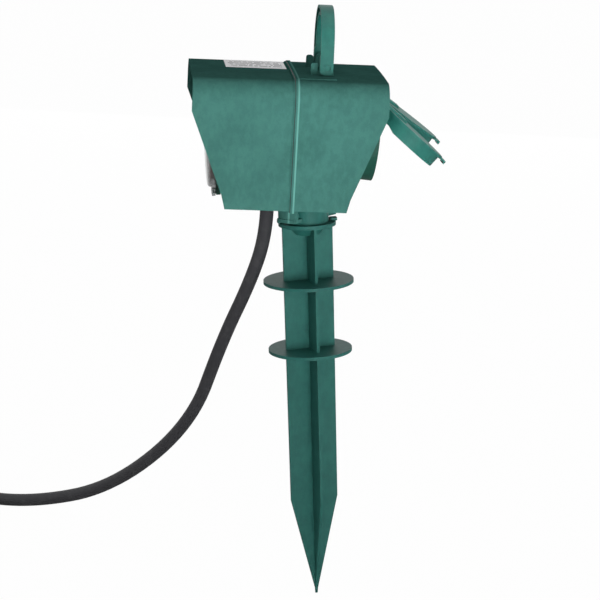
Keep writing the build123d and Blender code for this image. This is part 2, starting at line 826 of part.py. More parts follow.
cover_lug_y = cover_knuckle_length / 2 + knuckle_gap
cover_lug_width = 3.0
with BuildPart() as timer_base:
    with BuildSketch(timer_face()):
        Circle(timer_base_r)
        with Locations((0, -cover_r)):
            Rectangle(cover_tab_width + 4, 5.8)
        for end in (-1, 1):
            with Locations((end * (cover_lug_y + cover_lug_width / 2), cover_hinge_rise - 4)):
                Rectangle(cover_lug_width, 2 * cover_knuckle_r + 7)
        Circle(timer_base_bore, mode=Mode.SUBTRACT)
    extrude(amount=timer_base_h)
    # two lugs that carry the cover's pin
    for end in (-1, 1):
        with BuildSketch(timer_across(cover_hinge_rise, cover_hinge_out, end * cover_lug_y)):
            Circle(cover_knuckle_r)
            with Locations((cover_hinge_out / 2, 0)):
                Rectangle(cover_hinge_out, 2 * cover_knuckle_r)
        extrude(amount=-end * cover_lug_width)
        with BuildSketch(timer_across(cover_hinge_rise, cover_hinge_out, end * cover_lug_y)):
            Circle(cover_pin_r)
        extrude(amount=-end * cover_lug_width, mode=Mode.SUBTRACT)
    # catch below the cover's tab and the fixed hand that marks the time
    with BuildSketch(timer_face(timer_base_h)):
        with Locations((0, -cover_r - 1.6)):
            Rectangle(cover_tab_width - 4, 2.4)
    extrude(amount=cover_base - timer_base_h + cover_rim_h * 0.6)
    with BuildSketch(timer_face(timer_base_h)):
        with Locations((0, timer_base_bore + 1.05)):
            RegularPolygon(0.95, 3, rotation=-90)
    extrude(amount=0.8)
    # slideway of the override switch, at the lower right of the ring
    with BuildSketch(timer_face(0)):
        with Locations((switch_x, switch_up)):
            RectangleRounded(switch_length + 3.0, 9.0, 1.5)
        Circle(timer_base_bore, mode=Mode.SUBTRACT)
    extrude(amount=timer_base_h)
    with BuildSketch(timer_face(timer_base_h)):
        with Locations((switch_x, switch_up)):
            Rectangle(switch_length, 4.4)
    extrude(amount=-timer_base_h, mode=Mode.SUBTRACT)
save(timer_base.part, "timer_base")

# The dial turns once a day on its shaft; its segments slide in and out of slots at the rim
with BuildPart() as dial:
    with BuildSketch(timer_face(dial_float)):
        Circle(dial_r)
    extrude(amount=dial_thick)
    with BuildSketch(timer_face(dial_float + dial_thick)):
        Circle(dial_hub_r)
    extrude(amount=dial_hub_h, taper=20)
    with BuildSketch(timer_face(dial_float + dial_thick + dial_hub_h)):
        Circle(4.2)
        with PolarLocations(4.0, 12):
            Circle(0.5, mode=Mode.SUBTRACT)
    extrude(amount=1.6)
    with BuildSketch(timer_face(dial_float)):
        with PolarLocations(segment_r, slot_count):
            Rectangle(segment_radial + 2 * segment_gap, segment_width + 2 * segment_gap)
    extrude(amount=dial_thick, mode=Mode.SUBTRACT)
    with BuildSketch(timer_face(dial_float)):
        Circle(shaft_r)
    extrude(amount=-shaft_length)
save(dial.part, "dial")


def segments(indices, rise):
    """Switching segments at the given half hours, standing rise above the panel."""
    with BuildPart() as group:
        for index in indices:
            turn = -360.0 * index / slot_count
            with BuildSketch(timer_face(rise)):
                with PolarLocations(segment_r, 1, start_angle=turn):
                    Rectangle(segment_radial, segment_width)
            extrude(amount=segment_length)
    return group.part


free_segments = {"segment_morning": 13, "segment_noon": 24, "segment_evening": 37}
set_indices = [i for i in [*range(14, 19), *range(38, 45)]]
clear_indices = [i for i in range(slot_count) if i not in set_indices and i not in free_segments.values()]
save(segments(set_indices, segment_low), "segments_set")
save(segments(clear_indices, segment_low + segment_travel), "segments_clear")
for name, index in free_segments.items():
    save(segments([index], segment_low + segment_travel), name)

with BuildPart() as override_switch:
    with BuildSketch(timer_face(0.4)):
        with Locations((switch_x, switch_up)):
            Rectangle(switch_width, 4.0)
    extrude(amount=timer_base_h - 0.4)
    with BuildSketch(timer_face(timer_base_h)):
        with Locations((switch_x, switch_up)):
            Rectangle(switch_width - 1.0, 3.6)
    extrude(amount=1.6, taper=8)
save(override_switch.part, "override_switch")

# Clear cover: a shallow drum with its hinge knuckle and finger tab
with BuildPart() as timer_cover:
    with BuildSketch(timer_face(cover_base)):
        Circle(cover_r)
        with Locations((0, -cover_r - cover_tab_length / 2 + 1.5)):
            RectangleRounded(cover_tab_width, cover_tab_length + 1, 1.5)
    extrude(amount=cover_rim_h)
    with BuildSketch(timer_face(cover_base)):
        Circle(cover_face_r)
    extrude(amount=cover_h - cover_base)
    fillet(timer_cover.faces().sort_by(Axis.X)[0].edges(), 2.4)
    with BuildSketch(timer_face(cover_base)):
        Circle(cover_face_r - cover_wall)
    extrude(amount=cover_h - cover_base - cover_wall, mode=Mode.SUBTRACT)
    with BuildSketch(timer_across(cover_hinge_rise, cover_hinge_out, cover_knuckle_length / 2)):
        Circle(cover_knuckle_r)
    extrude(amount=cover_knuckle_length)
    with BuildSketch(timer_across(cover_hinge_rise, cover_hinge_out, cover_knuckle_length / 2)):
        Circle(cover_pin_r + hinge_fit)
    extrude(amount=cover_knuckle_length, mode=Mode.SUBTRACT)
    # window in the tab that snaps over the catch
    with BuildSketch(timer_face(cover_base)):
        with Locations((0, -cover_r - 1.6)):
            Rectangle(cover_tab_width - 3.4, 3.0)
    extrude(amount=cover_rim_h, mode=Mode.SUBTRACT)
save(timer_cover.part, "timer_cover")

with BuildPart() as cover_pin:
    with BuildSketch(timer_across(cover_hinge_rise, cover_hinge_out, cover_lug_y + cover_lug_width)):
        Circle(cover_pin_r)
    extrude(amount=2 * (cover_lug_y + cover_lug_width))
save(cover_pin.part, "cover_pin")

with BuildPart() as cover_seal:
    with BuildSketch(timer_face(timer_base_h)):
        Circle(cover_face_r - 0.3)
        Circle(cover_face_r - cover_wall + 0.2, mode=Mode.SUBTRACT)
    extrude(amount=cover_base - timer_base_h - 0.1)
save(cover_seal.part, "cover_seal")


# Drive behind the panel: bush, gear on the dial's shaft, motor with its pinion, and their plate
def gear(plane, teeth, bore, thick):
    """A spur gear of straight-flanked teeth, centred on the plane."""
    pitch_r = gear_module * teeth / 2
    with BuildPart() as wheel:
        with BuildSketch(plane):
            Circle(pitch_r - 1.25 * gear_module)
            with PolarLocations(pitch_r - 0.15 * gear_module, teeth):
                Trapezoid(pi * gear_module * 0.58, 2.3 * gear_module, 75, rotation=-90)
            Circle(bore, mode=Mode.SUBTRACT)
        extrude(amount=-thick)
    return wheel.part


save(gear(timer_face(-gear_depth), dial_teeth, shaft_r + 0.01, gear_thick), "dial_gear")
motor_distance = gear_module * (dial_teeth + pinion_teeth) / 2 + gear_play
motor_y = motor_distance * sin(radians(motor_angle))
motor_up = motor_distance * cos(radians(motor_angle))


def motor_face(out):
    """A plane square to the motor's shaft, out from the panel's face."""
    base = timer_face(out)
    return Plane(origin=base.origin + base.x_dir * motor_y + base.y_dir * motor_up,
                 x_dir=base.x_dir, z_dir=base.z_dir)


plate_out = -gear_depth - gear_thick - 1.5
line_turn = 90 - motor_angle
pinion_phase = line_turn + 180 - 360 / pinion_teeth * (0.5 - line_turn * dial_teeth / 360)
pinion = gear(motor_face(-gear_depth), pinion_teeth, motor_shaft_r + 0.01, gear_thick)
save(pinion.rotate(Axis(motor_face(0).origin, motor_face(0).z_dir), pinion_phase), "motor_pinion")
with BuildPart() as dial_bush:
    with BuildSketch(timer_face(-panel_thick)):
        Circle(shaft_r + 1.45)
        Circle(shaft_r + shaft_fit, mode=Mode.SUBTRACT)
    extrude(amount=panel_thick)
save(dial_bush.part, "dial_bush")
with BuildPart() as gear_plate:
    with BuildSketch(timer_face(plate_out)):
        with Locations((0, 4)):
            RectangleRounded(plate_width, plate_height, 4)
        Circle(shaft_r + shaft_fit, mode=Mode.SUBTRACT)
    extrude(amount=-plate_thick)
    with BuildSketch(motor_face(plate_out)):
        Circle(motor_shaft_r + 1.0)
    extrude(amount=-plate_thick, mode=Mode.SUBTRACT)
    with BuildSketch(timer_face(-panel_thick)):
        with Locations((0, 4)):
            with GridLocations(plate_width - 8, plate_height - 8, 2, 2):
                Circle(3.0)
    extrude(amount=plate_out + panel_thick)
save(gear_plate.part, "gear_plate")
with BuildPart() as timer_motor:
    with BuildSketch(motor_face(plate_out - plate_thick)):
        Circle(motor_r)
        with Locations((0, -motor_r)):
            Rectangle(10, 6)
    extrude(amount=-motor_length)
    with BuildSketch(motor_face(plate_out - plate_thick)):
        Circle(motor_shaft_r)
    extrude(amount=gear_thick + plate_thick + 1.2)
save(timer_motor.part, "timer_motor")

# Inner wiring: terminal block and its wires, busbars between the outlets, timer's switch
with BuildPart() as terminal_block:
    with BuildSketch(level(wall, block_x, block_y)):
        RectangleRounded(block_width, block_length, 1.0)
    extrude(amount=block_height)
    with BuildSketch(level(wall + block_height, block_x, block_y)):
        with GridLocations(0, block_length / 3, 1, 3):
            Circle(2.4)
    extrude(amount=-6.0, mode=Mode.SUBTRACT)
    with BuildSketch(station(block_x + block_width / 2, block_y, wall + 4.5)):
        with GridLocations(block_length / 3, 0, 3, 1):
            Circle(1.7)
    extrude(amount=-block_width / 2, mode=Mode.SUBTRACT)
save(terminal_block.part, "terminal_block")

with BuildPart() as terminal_screws:
    with BuildSketch(level(wall + block_height - 5.9, block_x, block_y)):
        with GridLocations(0, block_length / 3, 1, 3):
            Circle(2.2)
    extrude(amount=4.0)
    with BuildSketch(level(wall + block_height - 1.9, block_x, block_y)):
        with GridLocations(0, block_length / 3, 1, 3):
            Rectangle(0.7, 5)
    extrude(amount=-1.0, mode=Mode.SUBTRACT)
save(terminal_screws.part, "terminal_screws")

for name, up, shift in (("busbar_live", busbar_up, -1), ("busbar_neutral", -busbar_up, 1)):
    with BuildPart() as busbar:
        with BuildSketch(socket_face(shift * pin_pitch / 2, -insert_depth - 1.0)):
            with Locations((0, up)):
                Rectangle(2 * socket_y + 4, busbar_width)
            with Locations((-socket_y, up / 2), (socket_y, up / 2)):
                Rectangle(4.0, abs(up))
        extrude(amount=-busbar_thick)
    save(busbar.part, name)
with BuildPart() as busbar_earth:
    with BuildSketch(socket_face(0, -insert_depth - bridge_back)):
        Rectangle(2 * socket_y + earth_width, busbar_width)
    extrude(amount=-busbar_thick)
save(busbar_earth.part, "busbar_earth")

with BuildPart() as microswitch:
    with BuildSketch(timer_face(plate_out - plate_thick)):
        with Locations((micro_x, micro_up)):
            Rectangle(micro_length, micro_width)
    extrude(amount=-micro_depth)
save(microswitch.part, "microswitch")

# Cable entry: a moulded bush, tapered below the floor, with the sheath through it
with BuildPart() as cable_gland:
    with BuildSketch(across(0, exit_x)):
        with BuildLine():
            Polyline((cable_r + gland_gap, -gland_below), (gland_low_r, -gland_below),
                     (gland_top_r, 0), (gland_top_r, wall + gland_gap),
                     (gland_collar_r, wall + gland_gap),
                     (gland_collar_r, wall + gland_gap + gland_collar_h),
                     (cable_r + gland_gap, gland_above), close=True)
        make_face()
    revolve(axis=Axis((head_x + exit_x, 0, 0), (0, 0, 1)))
save(cable_gland.part, "cable_gland")

# The sheath inside the head and its three wires to the terminal block
sheath_top = gland_above + 4.0
with BuildPart() as cable_sheath_end:
    with BuildSketch(level(-gland_below, exit_x)):
        Circle(cable_r)
    extrude(amount=gland_below + sheath_top)
save(cable_sheath_end.part, "cable_sheath_end")

with BuildPart() as supply_wires:
    for index, turn in enumerate((-1, 0, 1)):
        start_y = turn * 2.6
        end_y = block_y + turn * block_length / 3
        entry = (head_x + block_x + block_width / 2 - 1.0, end_y, head_z + wall + 4.5)
        with BuildLine() as route:
            FilletPolyline((head_x + exit_x, start_y, head_z + sheath_top),
                           (head_x + exit_x, start_y, head_z + sheath_top + 12 + 3 * index),
                           (entry[0] + 8, end_y, head_z + sheath_top + 12 + 3 * index),
                           (entry[0] + 8, end_y, entry[2]), entry, radius=2.8)
        with BuildSketch(level(sheath_top, exit_x, start_y)):
            Circle(wire_r)
        sweep(path=route.line)
save(supply_wires.part, "supply_wires")

# The cable's free stretch, from the bush down and back to the ground. The points are chosen
# along the cable as it hangs, and the last two lead into the coil.
cable_low = cable_r + cable_floor
coil_start_y = coil_y + coil_rest_r
cable_route = [
    (head_x + exit_x, 0, head_z - gland_below),
    (head_x + exit_x, 0, 261.0),
    (-56.5, 9.0, 227.0),
    (-73.5, 43.0, 174.0),
    (-91.5, 84.0, 99.0),
    (-148.0, 133.0, 33.0),
    (-210.0, 170.0, cable_low + 2.0),
    (-262.0, coil_start_y, cable_low),
    (coil_x + 2 * cable_r, coil_start_y, cable_low),
]


def corner_radii(points):
    """The radius at each inner point: 0.45 of the shorter run over the tangent of half the turn."""
    radii = []
    for before, here, after in zip(points, points[1:], points[2:]):
        run_in = Vector(*here) - Vector(*before)
        run_out = Vector(*after) - Vector(*here)
        turn = radians(run_in.get_angle(run_out))
        radii.append(0.45 * min(run_in.length, run_out.length) / tan(turn / 2))
    return radii


route_radii = corner_radii(cable_route)
print("cable radii", [round(r, 1) for r in route_radii])
with BuildPart() as cable:
    with BuildLine() as cable_line:
        FilletPolyline(*cable_route, radius=route_radii)
    with BuildSketch(level(-gland_below, exit_x)):
        Circle(cable_r)
    sweep(path=cable_line.wire())
free_length = cable_line.wire().length
print("cable", round(free_length, 1), "mm, volume over section x length",
      round(cable.part.volume / (pi * cable_r ** 2 * free_length), 5))
save(cable.part, "cable")


def coil_point(turn):
    """The coil's centre line after a number of turns from its start."""
    full = 2 * pi * turn
    ring = coil_rest_r - coil_shrink * (1 - cos(2 * pi * turn / coil_turns)) / 2
    climb = min(max((turn - coil_turns / 2 + 0.25) / 0.5, 0), 1)
    rise = coil_layer * climb * climb * (3 - 2 * climb)
    return Vector(coil_x - ring * sin(full), coil_y + ring * cos(full), cable_low + rise)


def coil_heading(turn):
    """The direction in which the centre line runs there."""
    step = 0.001
    return (coil_point(turn + step) - coil_point(turn - step)).normalized()


def biarc(start, heading, end, last_heading):
    """Two arcs that meet in one tangent, from one point and heading to the next."""
    across_way = end - start
    both = heading + last_heading
    a = 2 * (1 - heading.dot(last_heading))
    b = 2 * across_way.dot(both)
    reach = (sqrt(b * b + 4 * a * across_way.dot(across_way)) - b) / (2 * a)
    first = start + heading * reach
    second = end - last_heading * reach
    middle = (first + second) * 0.5
    TangentArc(start, middle, tangent=heading)
    TangentArc(middle, end, tangent=(second - first).normalized())


quarter_count = 4 * coil_turns
level_way = Vector(-1, 0, 0)
coil_marks = [i / 4 for i in range(quarter_count + 1)]
coil_headings = [level_way] + [coil_heading(t) for t in coil_marks[1:-1]] + [level_way]
with BuildPart() as cable_coil:
    with BuildLine() as coil_line:
        Line(Vector(*cable_route[-1]), coil_point(0))
        for i in range(quarter_count):
            biarc(coil_point(coil_marks[i]), coil_headings[i], coil_point(coil_marks[i + 1]),
                  coil_headings[i + 1])
        coil_end = coil_point(coil_turns) - Vector(2 * cable_r, 0, 0)
        Line(coil_point(coil_turns), coil_end)
    with BuildSketch(Plane(origin=cable_route[-1], x_dir=(0, 1, 0), z_dir=(-1, 0, 0))):
        Circle(cable_r)
    sweep(path=coil_line.wire())
coil_path = coil_line.wire()
coil_length = coil_path.length
samples = [coil_path @ (i / 900) for i in range(901)]
apart = int(900 * pi * coil_rest_r / coil_length)
least = min((a - b).length for i, a in enumerate(samples) for b in samples[i + apart:])
print("coil", round(coil_length, 1), "mm, least gap to itself", round(least - 2 * cable_r, 2),
      "volume ratio", round(cable_coil.part.volume / (pi * cable_r ** 2 * coil_length), 5))
save(cable_coil.part, "cable_coil")

# The tail to the plug, which lies beside the coil
plug_axis_z = plug_r + 0.3
tail_route = [
    tuple(coil_end),
    (coil_end.X - 16.0, coil_end.Y, coil_end.Z),
    (coil_end.X - 34.0, coil_end.Y + 0.8, plug_axis_z),
    (coil_end.X - 50.0, coil_end.Y + 0.8, plug_axis_z),
]
tail_radii = corner_radii(tail_route)
print("tail radii", [round(r, 1) for r in tail_radii])
plug_x = tail_route[-1][0]
plug_y = tail_route[-1][1]
with BuildPart() as cable_tail:
    with BuildLine() as tail_line:
        FilletPolyline(*tail_route, radius=tail_radii)
    with BuildSketch(Plane(origin=tail_route[0], x_dir=(0, 1, 0), z_dir=(-1, 0, 0))):
        Circle(cable_r)
    sweep(path=tail_line.wire())
save(cable_tail.part, "cable_tail")
print("whole cable", round(free_length + coil_length + tail_line.wire().length), "mm")


def plug_plane(along, up=0.0):
    """A plane square to the plug, so far along it from the cable's end."""
    return Plane(origin=(plug_x - along, plug_y, plug_axis_z + up), x_dir=(0, -1, 0), z_dir=(-1, 0, 0))


# Straight plug: moulded body with its bend relief, two pins, two side contacts and a tie
plug_face = plug_neck_length + plug_length
with BuildPart() as plug_body:
    with BuildSketch(plug_plane(plug_neck_length)):
        Circle(plug_r)
        for side in (-1, 1):
            with Locations((0, side * plug_r)):
                Rectangle(6.4, 4.4, mode=Mode.SUBTRACT)
    extrude(amount=plug_length)
    with BuildSketch(plug_plane(plug_neck_length)):
        Circle(plug_r + 2)
        Circle(plug_r - 6, mode=Mode.SUBTRACT)
    with BuildSketch(plug_plane(plug_neck_length + 12)):
        Circle(plug_r + 2)
        Circle(plug_r - 0.01, mode=Mode.SUBTRACT)
    loft(mode=Mode.SUBTRACT)
    with BuildSketch(plug_plane(0)):
        Circle(cable_r + 1.2)
    with BuildSketch(plug_plane(plug_neck_length)):
        Circle(plug_neck_r)
    loft()
    with BuildSketch(plug_plane(plug_neck_length)):
        Circle(plug_neck_r)
    extrude(amount=4)
    with BuildSketch(plug_plane(plug_face)):
        with Locations((-pin_pitch / 2, 0), (pin_pitch / 2, 0)):
            Circle(plug_pin_r)
    extrude(amount=-plug_pin_base, mode=Mode.SUBTRACT)
save(plug_body.part, "plug_body")

with BuildPart() as plug_pins:
    with BuildSketch(plug_plane(plug_face - plug_pin_base)):
        with Locations((-pin_pitch / 2, 0), (pin_pitch / 2, 0)):
            Circle(plug_pin_r)
    extrude(amount=plug_pin_base + plug_pin_length)
    chamfer(plug_pins.faces().sort_by(Axis.X)[0:2].edges(), 0.6)
save(plug_pins.part, "plug_pins")

with BuildPart() as plug_earths:
    for side in (-1, 1):
        with BuildSketch(plug_plane(plug_face - 18)):
            with Locations((0, side * (plug_r - 1.6))):
                Rectangle(4.0, 1.0)
        extrude(amount=18)
save(plug_earths.part, "plug_earths")

# Tie round the coil's bundle, where the two layers lie side by side
tie_out = coil_rest_r + cable_r + tie_slack
tie_in = coil_rest_r - coil_shrink - cable_r - tie_slack
tie_low = cable_floor - tie_slack
tie_high = cable_low + coil_layer + cable_r + tie_slack
with BuildPart() as cable_tie:
    with BuildSketch(Plane(origin=(coil_x, coil_y - tie_width / 2, 0), x_dir=(-1, 0, 0), z_dir=(0, 1, 0))):
        with Locations(((tie_out + tie_in) / 2, (tie_high + tie_low) / 2)):
            RectangleRounded(tie_out - tie_in + 2 * tie_thick, tie_high - tie_low + 2 * tie_thick, 1.5)
            RectangleRounded(tie_out - tie_in, tie_high - tie_low, 1.0, mode=Mode.SUBTRACT)
    extrude(amount=tie_width)
save(cable_tie.part, "cable_tie")
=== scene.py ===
import json
import logging
import math
from dataclasses import dataclass
from enum import Enum
from typing import Callable, Optional, Sequence, Union

import bpy
import bmesh
from mathutils import Matrix, Vector

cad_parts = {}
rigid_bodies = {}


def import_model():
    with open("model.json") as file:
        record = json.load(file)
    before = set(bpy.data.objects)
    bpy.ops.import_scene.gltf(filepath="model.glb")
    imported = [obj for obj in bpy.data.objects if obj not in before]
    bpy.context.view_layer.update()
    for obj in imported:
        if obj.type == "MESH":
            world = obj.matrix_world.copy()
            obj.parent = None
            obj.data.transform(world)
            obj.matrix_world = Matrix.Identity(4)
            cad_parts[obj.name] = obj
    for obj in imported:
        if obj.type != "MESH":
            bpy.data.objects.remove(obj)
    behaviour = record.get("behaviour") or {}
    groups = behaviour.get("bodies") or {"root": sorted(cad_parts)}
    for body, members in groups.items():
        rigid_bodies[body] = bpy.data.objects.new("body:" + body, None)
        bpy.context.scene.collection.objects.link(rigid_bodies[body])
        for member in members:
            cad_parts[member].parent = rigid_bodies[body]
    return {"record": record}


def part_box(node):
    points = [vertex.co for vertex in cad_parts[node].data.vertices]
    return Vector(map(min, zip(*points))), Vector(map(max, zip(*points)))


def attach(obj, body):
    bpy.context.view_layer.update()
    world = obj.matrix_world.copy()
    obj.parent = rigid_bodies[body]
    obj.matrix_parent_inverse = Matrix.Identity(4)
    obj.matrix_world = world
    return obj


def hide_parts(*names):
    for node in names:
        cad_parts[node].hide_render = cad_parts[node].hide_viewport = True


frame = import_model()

# Garden multi-socket with timer on its ground spike. Metres; the origin is the tip of the spike.
LOG = logging.getLogger("garden_socket")
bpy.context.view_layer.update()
MM = 0.001
HEAD_X = -39.203 * MM          # middle of the head's floor
HEAD_Z = 288.723 * MM
PANEL_TILT = math.radians(5.0)
SEAM_X = HEAD_X + 3.0 * MM     # where the two shells meet
DIAL_CENTRE = Vector((-84.484, 0, 329.723)) * MM    # on the face of the timer panel
SHARP = math.radians(35)       # an edge that turns by more is rounded

Number = Union[int, float]


class Span(Enum):
    """How fine a pattern is, in repeats to the metre."""

    GRAIN = 2200.0
    FLOW = 260.0
    MOTTLE = 40.0


# Node networks: an output socket that takes part in sums


class Wire:
    """An output socket of a material's network that arithmetic can be done on."""

    def __init__(self, net: "Network", socket: bpy.types.NodeSocket) -> None:
        """Keep the network and the socket."""
        self.net = net
        self.socket = socket

    def _math(self, kind: str, *values: Union["Wire", Number]) -> "Wire":
        """Add a Math node.

        Args:
            kind: the operation's name.
            values: its inputs in order.

        Returns:
            The node's output.
        """
        return self.net.add("ShaderNodeMath", {"operation": kind}, dict(enumerate(values)))

    def __add__(self, other: Union["Wire", Number]) -> "Wire":
        """Sum."""
        return self._math("ADD", self, other)

    __radd__ = __add__

    def __sub__(self, other: Union["Wire", Number]) -> "Wire":
        """Difference."""
        return self._math("SUBTRACT", self, other)

    def __rsub__(self, other: Union["Wire", Number]) -> "Wire":
        """Difference from a plain number."""
        return self._math("SUBTRACT", other, self)

    def __mul__(self, other: Union["Wire", Number]) -> "Wire":
        """Product."""
        return self._math("MULTIPLY", self, other)

    __rmul__ = __mul__

    def __truediv__(self, other: Union["Wire", Number]) -> "Wire":
        """Quotient."""
        return self._math("DIVIDE", self, other)

    def __rtruediv__(self, other: Union["Wire", Number]) -> "Wire":
        """Quotient of a plain number."""
        return self._math("DIVIDE", other, self)

    def whole(self) -> "Wire":
        """The whole number below."""
        return self._math("FLOOR", self)

    def rest(self) -> "Wire":
        """What is left over the whole number below."""
        return self._math("FRACT", self)

    def ramp(self, low: float, high: float) -> "Wire":
        """Rise smoothly from 0 to 1.

        Args:
            low: the value where the rise starts.
            high: the value where it ends.

        Returns:
            The risen value.
        """
        settings = {"interpolation_type": "SMOOTHSTEP"}
        return self.net.add("ShaderNodeMapRange", settings,
                            {"Value": self, "From Min": low, "From Max": high})


class Network:
    """A material's node network."""

    def __init__(self, name: str) -> None:
        """Start a material with a bare Principled shader.

        Args:
            name: the material's name.
        """
        self.material = bpy.data.materials.new(name)
        self.material.use_nodes = True
        self.tree = self.material.node_tree
        self.shader = self.tree.nodes["Principled BSDF"]
        self.output = self.tree.nodes["Material Output"]

    def add(self, kind: str, settings: Optional[dict] = None, sockets: Optional[dict] = None,
            output: Union[int, str] = 0) -> Wire:
        """Add any node.

        Args:
            kind: the node's type.
            settings: attribute values of the node.
            sockets: input name or number to a value or a wire.
            output: which output is returned.

        Returns:
            The chosen output.
        """
        node = self.tree.nodes.new(kind)
        for name, value in (settings or {}).items():
            setattr(node, name, value)
        for name, value in (sockets or {}).items():
            self.join(value, node.inputs[name])
        return Wire(self, node.outputs[output])

    def join(self, value: object, socket: bpy.types.NodeSocket) -> None:
        """Link a wire to a socket, or set the socket's own value.

        Args:
            value: a wire, or what the socket itself is set to.
            socket: the input socket.
        """
        if isinstance(value, Wire):
            self.tree.links.new(value.socket, socket)
        else:
            socket.default_value = value

    def place(self) -> Wire:
        """The point in the object's own coordinates."""
        return self.add("ShaderNodeTexCoord", output="Object")

    def along(self, axis: str) -> Wire:
        """One coordinate of the point, by its letter."""
        return self.add("ShaderNodeSeparateXYZ", sockets={"Vector": self.place()}, output=axis)

    def noise(self, scale: float, detail: float = 3.0, rough: float = 0.5,
              stretch: Sequence[float] = (1.0, 1.0, 1.0), where: Optional[Wire] = None) -> Wire:
        """Cloudy noise from 0 to 1.

        Args:
            scale: repeats to the metre.
            detail: how many finer layers are added.
            rough: how strong the finer layers are.
            stretch: a factor along each axis.
            where: the point to read in place of the object's own coordinates.

        Returns:
            The noise.
        """
        point = where or self.add("ShaderNodeMapping", sockets={"Vector": self.place(),
                                                                "Scale": stretch})
        sockets = {"Vector": point, "Scale": scale, "Detail": detail, "Roughness": rough}
        return self.add("ShaderNodeTexNoise", sockets=sockets)

    def point(self, x: Wire, y: Wire) -> Wire:
        """A point from two coordinates."""
        return self.add("ShaderNodeCombineXYZ", sockets={"X": x, "Y": y})

    def colour_mix(self, share: Union[Wire, Number], first: Union[Sequence[float], Wire],
                   second: Union[Sequence[float], Wire]) -> Wire:
        """Blend two colours.

        Args:
            share: how much of the second, from 0 to 1.
            first: one colour.
            second: the other colour.

        Returns:
            The blended colour.
        """
        node = self.tree.nodes.new("ShaderNodeMix")
        node.data_type = "RGBA"
        self.join(share, node.inputs[0])
        for value, index in ((first, 6), (second, 7)):
            colour = value if isinstance(value, Wire) else rgba(value)
            self.join(colour, node.inputs[index])
        return Wire(self, node.outputs[2])

    def bump(self, height: Wire, depth: float, strength: float = 1.0) -> None:
        """Raise the surface in its shading.

        Args:
            height: how high each point is, from 0 to 1.
            depth: metres at full height.
            strength: how much of it is seen.
        """
        normal = self.add("ShaderNodeBump", sockets={"Height": height, "Distance": depth,
                                                     "Strength": strength}, output="Normal")
        self.join(normal, self.shader.inputs["Normal"])

    def set(self, **values: object) -> None:
        """Set or link the shader's sockets, named with underscores for blanks."""
        for name, value in values.items():
            self.join(value, self.shader.inputs[name.replace("_", " ")])


def rgba(colour: Sequence[float]) -> tuple:
    """A colour with full cover."""
    return (*colour[:3], 1.0)


def srgb(red: int, green: int, blue: int) -> tuple:
    """Turn a colour as it looks on a screen into the linear values that shaders take.

    Args:
        red: from 0 to 255.
        green: from 0 to 255.
        blue: from 0 to 255.

    Returns:
        The three linear values.
    """
    def linear(value: int) -> float:
        """One channel."""
        share = value / 255.0
        return share / 12.92 if share <= 0.04045 else ((share + 0.055) / 1.055) ** 2.4
    return (linear(red), linear(green), linear(blue))


# Finishes


@dataclass(frozen=True)
class MouldedPlastic:
    """Injection-moulded plastic: an eroded grain, faint flow lines, a slightly uneven sheen and,
    where a crest is given, a painted highlight along a rib.
    """

    name: str
    colour: tuple
    shade: tuple
    roughness: float = 0.5
    grain_depth: float = 0.00003
    gloss: float = 0.38
    crest: tuple = ()              # from where to where along X a rib's crest gets a painted highlight
    crest_edge: float = 0.25 * MM

    def make(self) -> bpy.types.Material:
        """Build the material."""
        net = Network(self.name)
        mottle = net.noise(Span.MOTTLE.value, 2.0, 0.5)
        flow = net.noise(Span.FLOW.value, 3.0, 0.6, (1.0, 1.0, 0.6))
        fine = net.noise(Span.GRAIN.value, 3.0, 0.65)
        speck = (0.35 * fine.ramp(0.3, 0.7) + 0.35 * flow.ramp(0.36, 0.64)
                 + 0.3 * mottle.ramp(0.35, 0.65))
        tone = net.colour_mix(speck, self.colour, self.shade)
        # Painted highlight: the rib's crest is made paler, as if light caught it.
        if self.crest:
            start, end = self.crest
            painted_highlight = (net.along("X").ramp(start, start + self.crest_edge)
                      * (1 - net.along("X").ramp(end - self.crest_edge, end)))
            highlight_colour = tuple(min(1.0, 1.9 * channel + 0.03) for channel in self.colour)
            tone = net.colour_mix(painted_highlight * (0.6 + 0.3 * flow), tone, highlight_colour)
        net.set(Base_Color=tone,
                Roughness=self.roughness - 0.06 + 0.08 * fine + 0.05 * flow,
                Specular_IOR_Level=self.gloss)
        net.bump(0.8 * fine + 0.2 * flow, self.grain_depth, 0.7)
        return net.material


@dataclass(frozen=True)
class SoftRubber:
    """Matt rubber or soft vinyl with a dusty bloom."""

    name: str
    colour: tuple
    bloom: tuple
    roughness: float = 0.6

    def make(self) -> bpy.types.Material:
        """Build the material."""
        net = Network(self.name)
        dust = net.noise(160.0, 5.0, 0.65)
        pores = net.noise(2600.0, 3.0, 0.6)
        net.set(Base_Color=net.colour_mix(dust.ramp(0.45, 0.8), self.colour, self.bloom),
                Roughness=self.roughness + 0.12 * dust)
        net.bump(pores, 0.00002, 0.3)
        return net.material


@dataclass(frozen=True)
class WorkedMetal:
    """Drawn or brushed metal with fine streaks along one axis."""

    name: str
    colour: tuple
    tarnish: tuple
    roughness: float = 0.3
    streak: tuple = (60.0, 60.0, 4.0)

    def make(self) -> bpy.types.Material:
        """Build the material."""
        net = Network(self.name)
        streaks = net.noise(90.0, 4.0, 0.6, self.streak)
        patches = net.noise(220.0, 3.0)
        net.set(Base_Color=net.colour_mix(patches.ramp(0.5, 0.8), self.colour, self.tarnish),
                Metallic=1.0, Roughness=self.roughness + 0.14 * streaks)
        net.bump(streaks, 0.00001, 0.4)
        return net.material


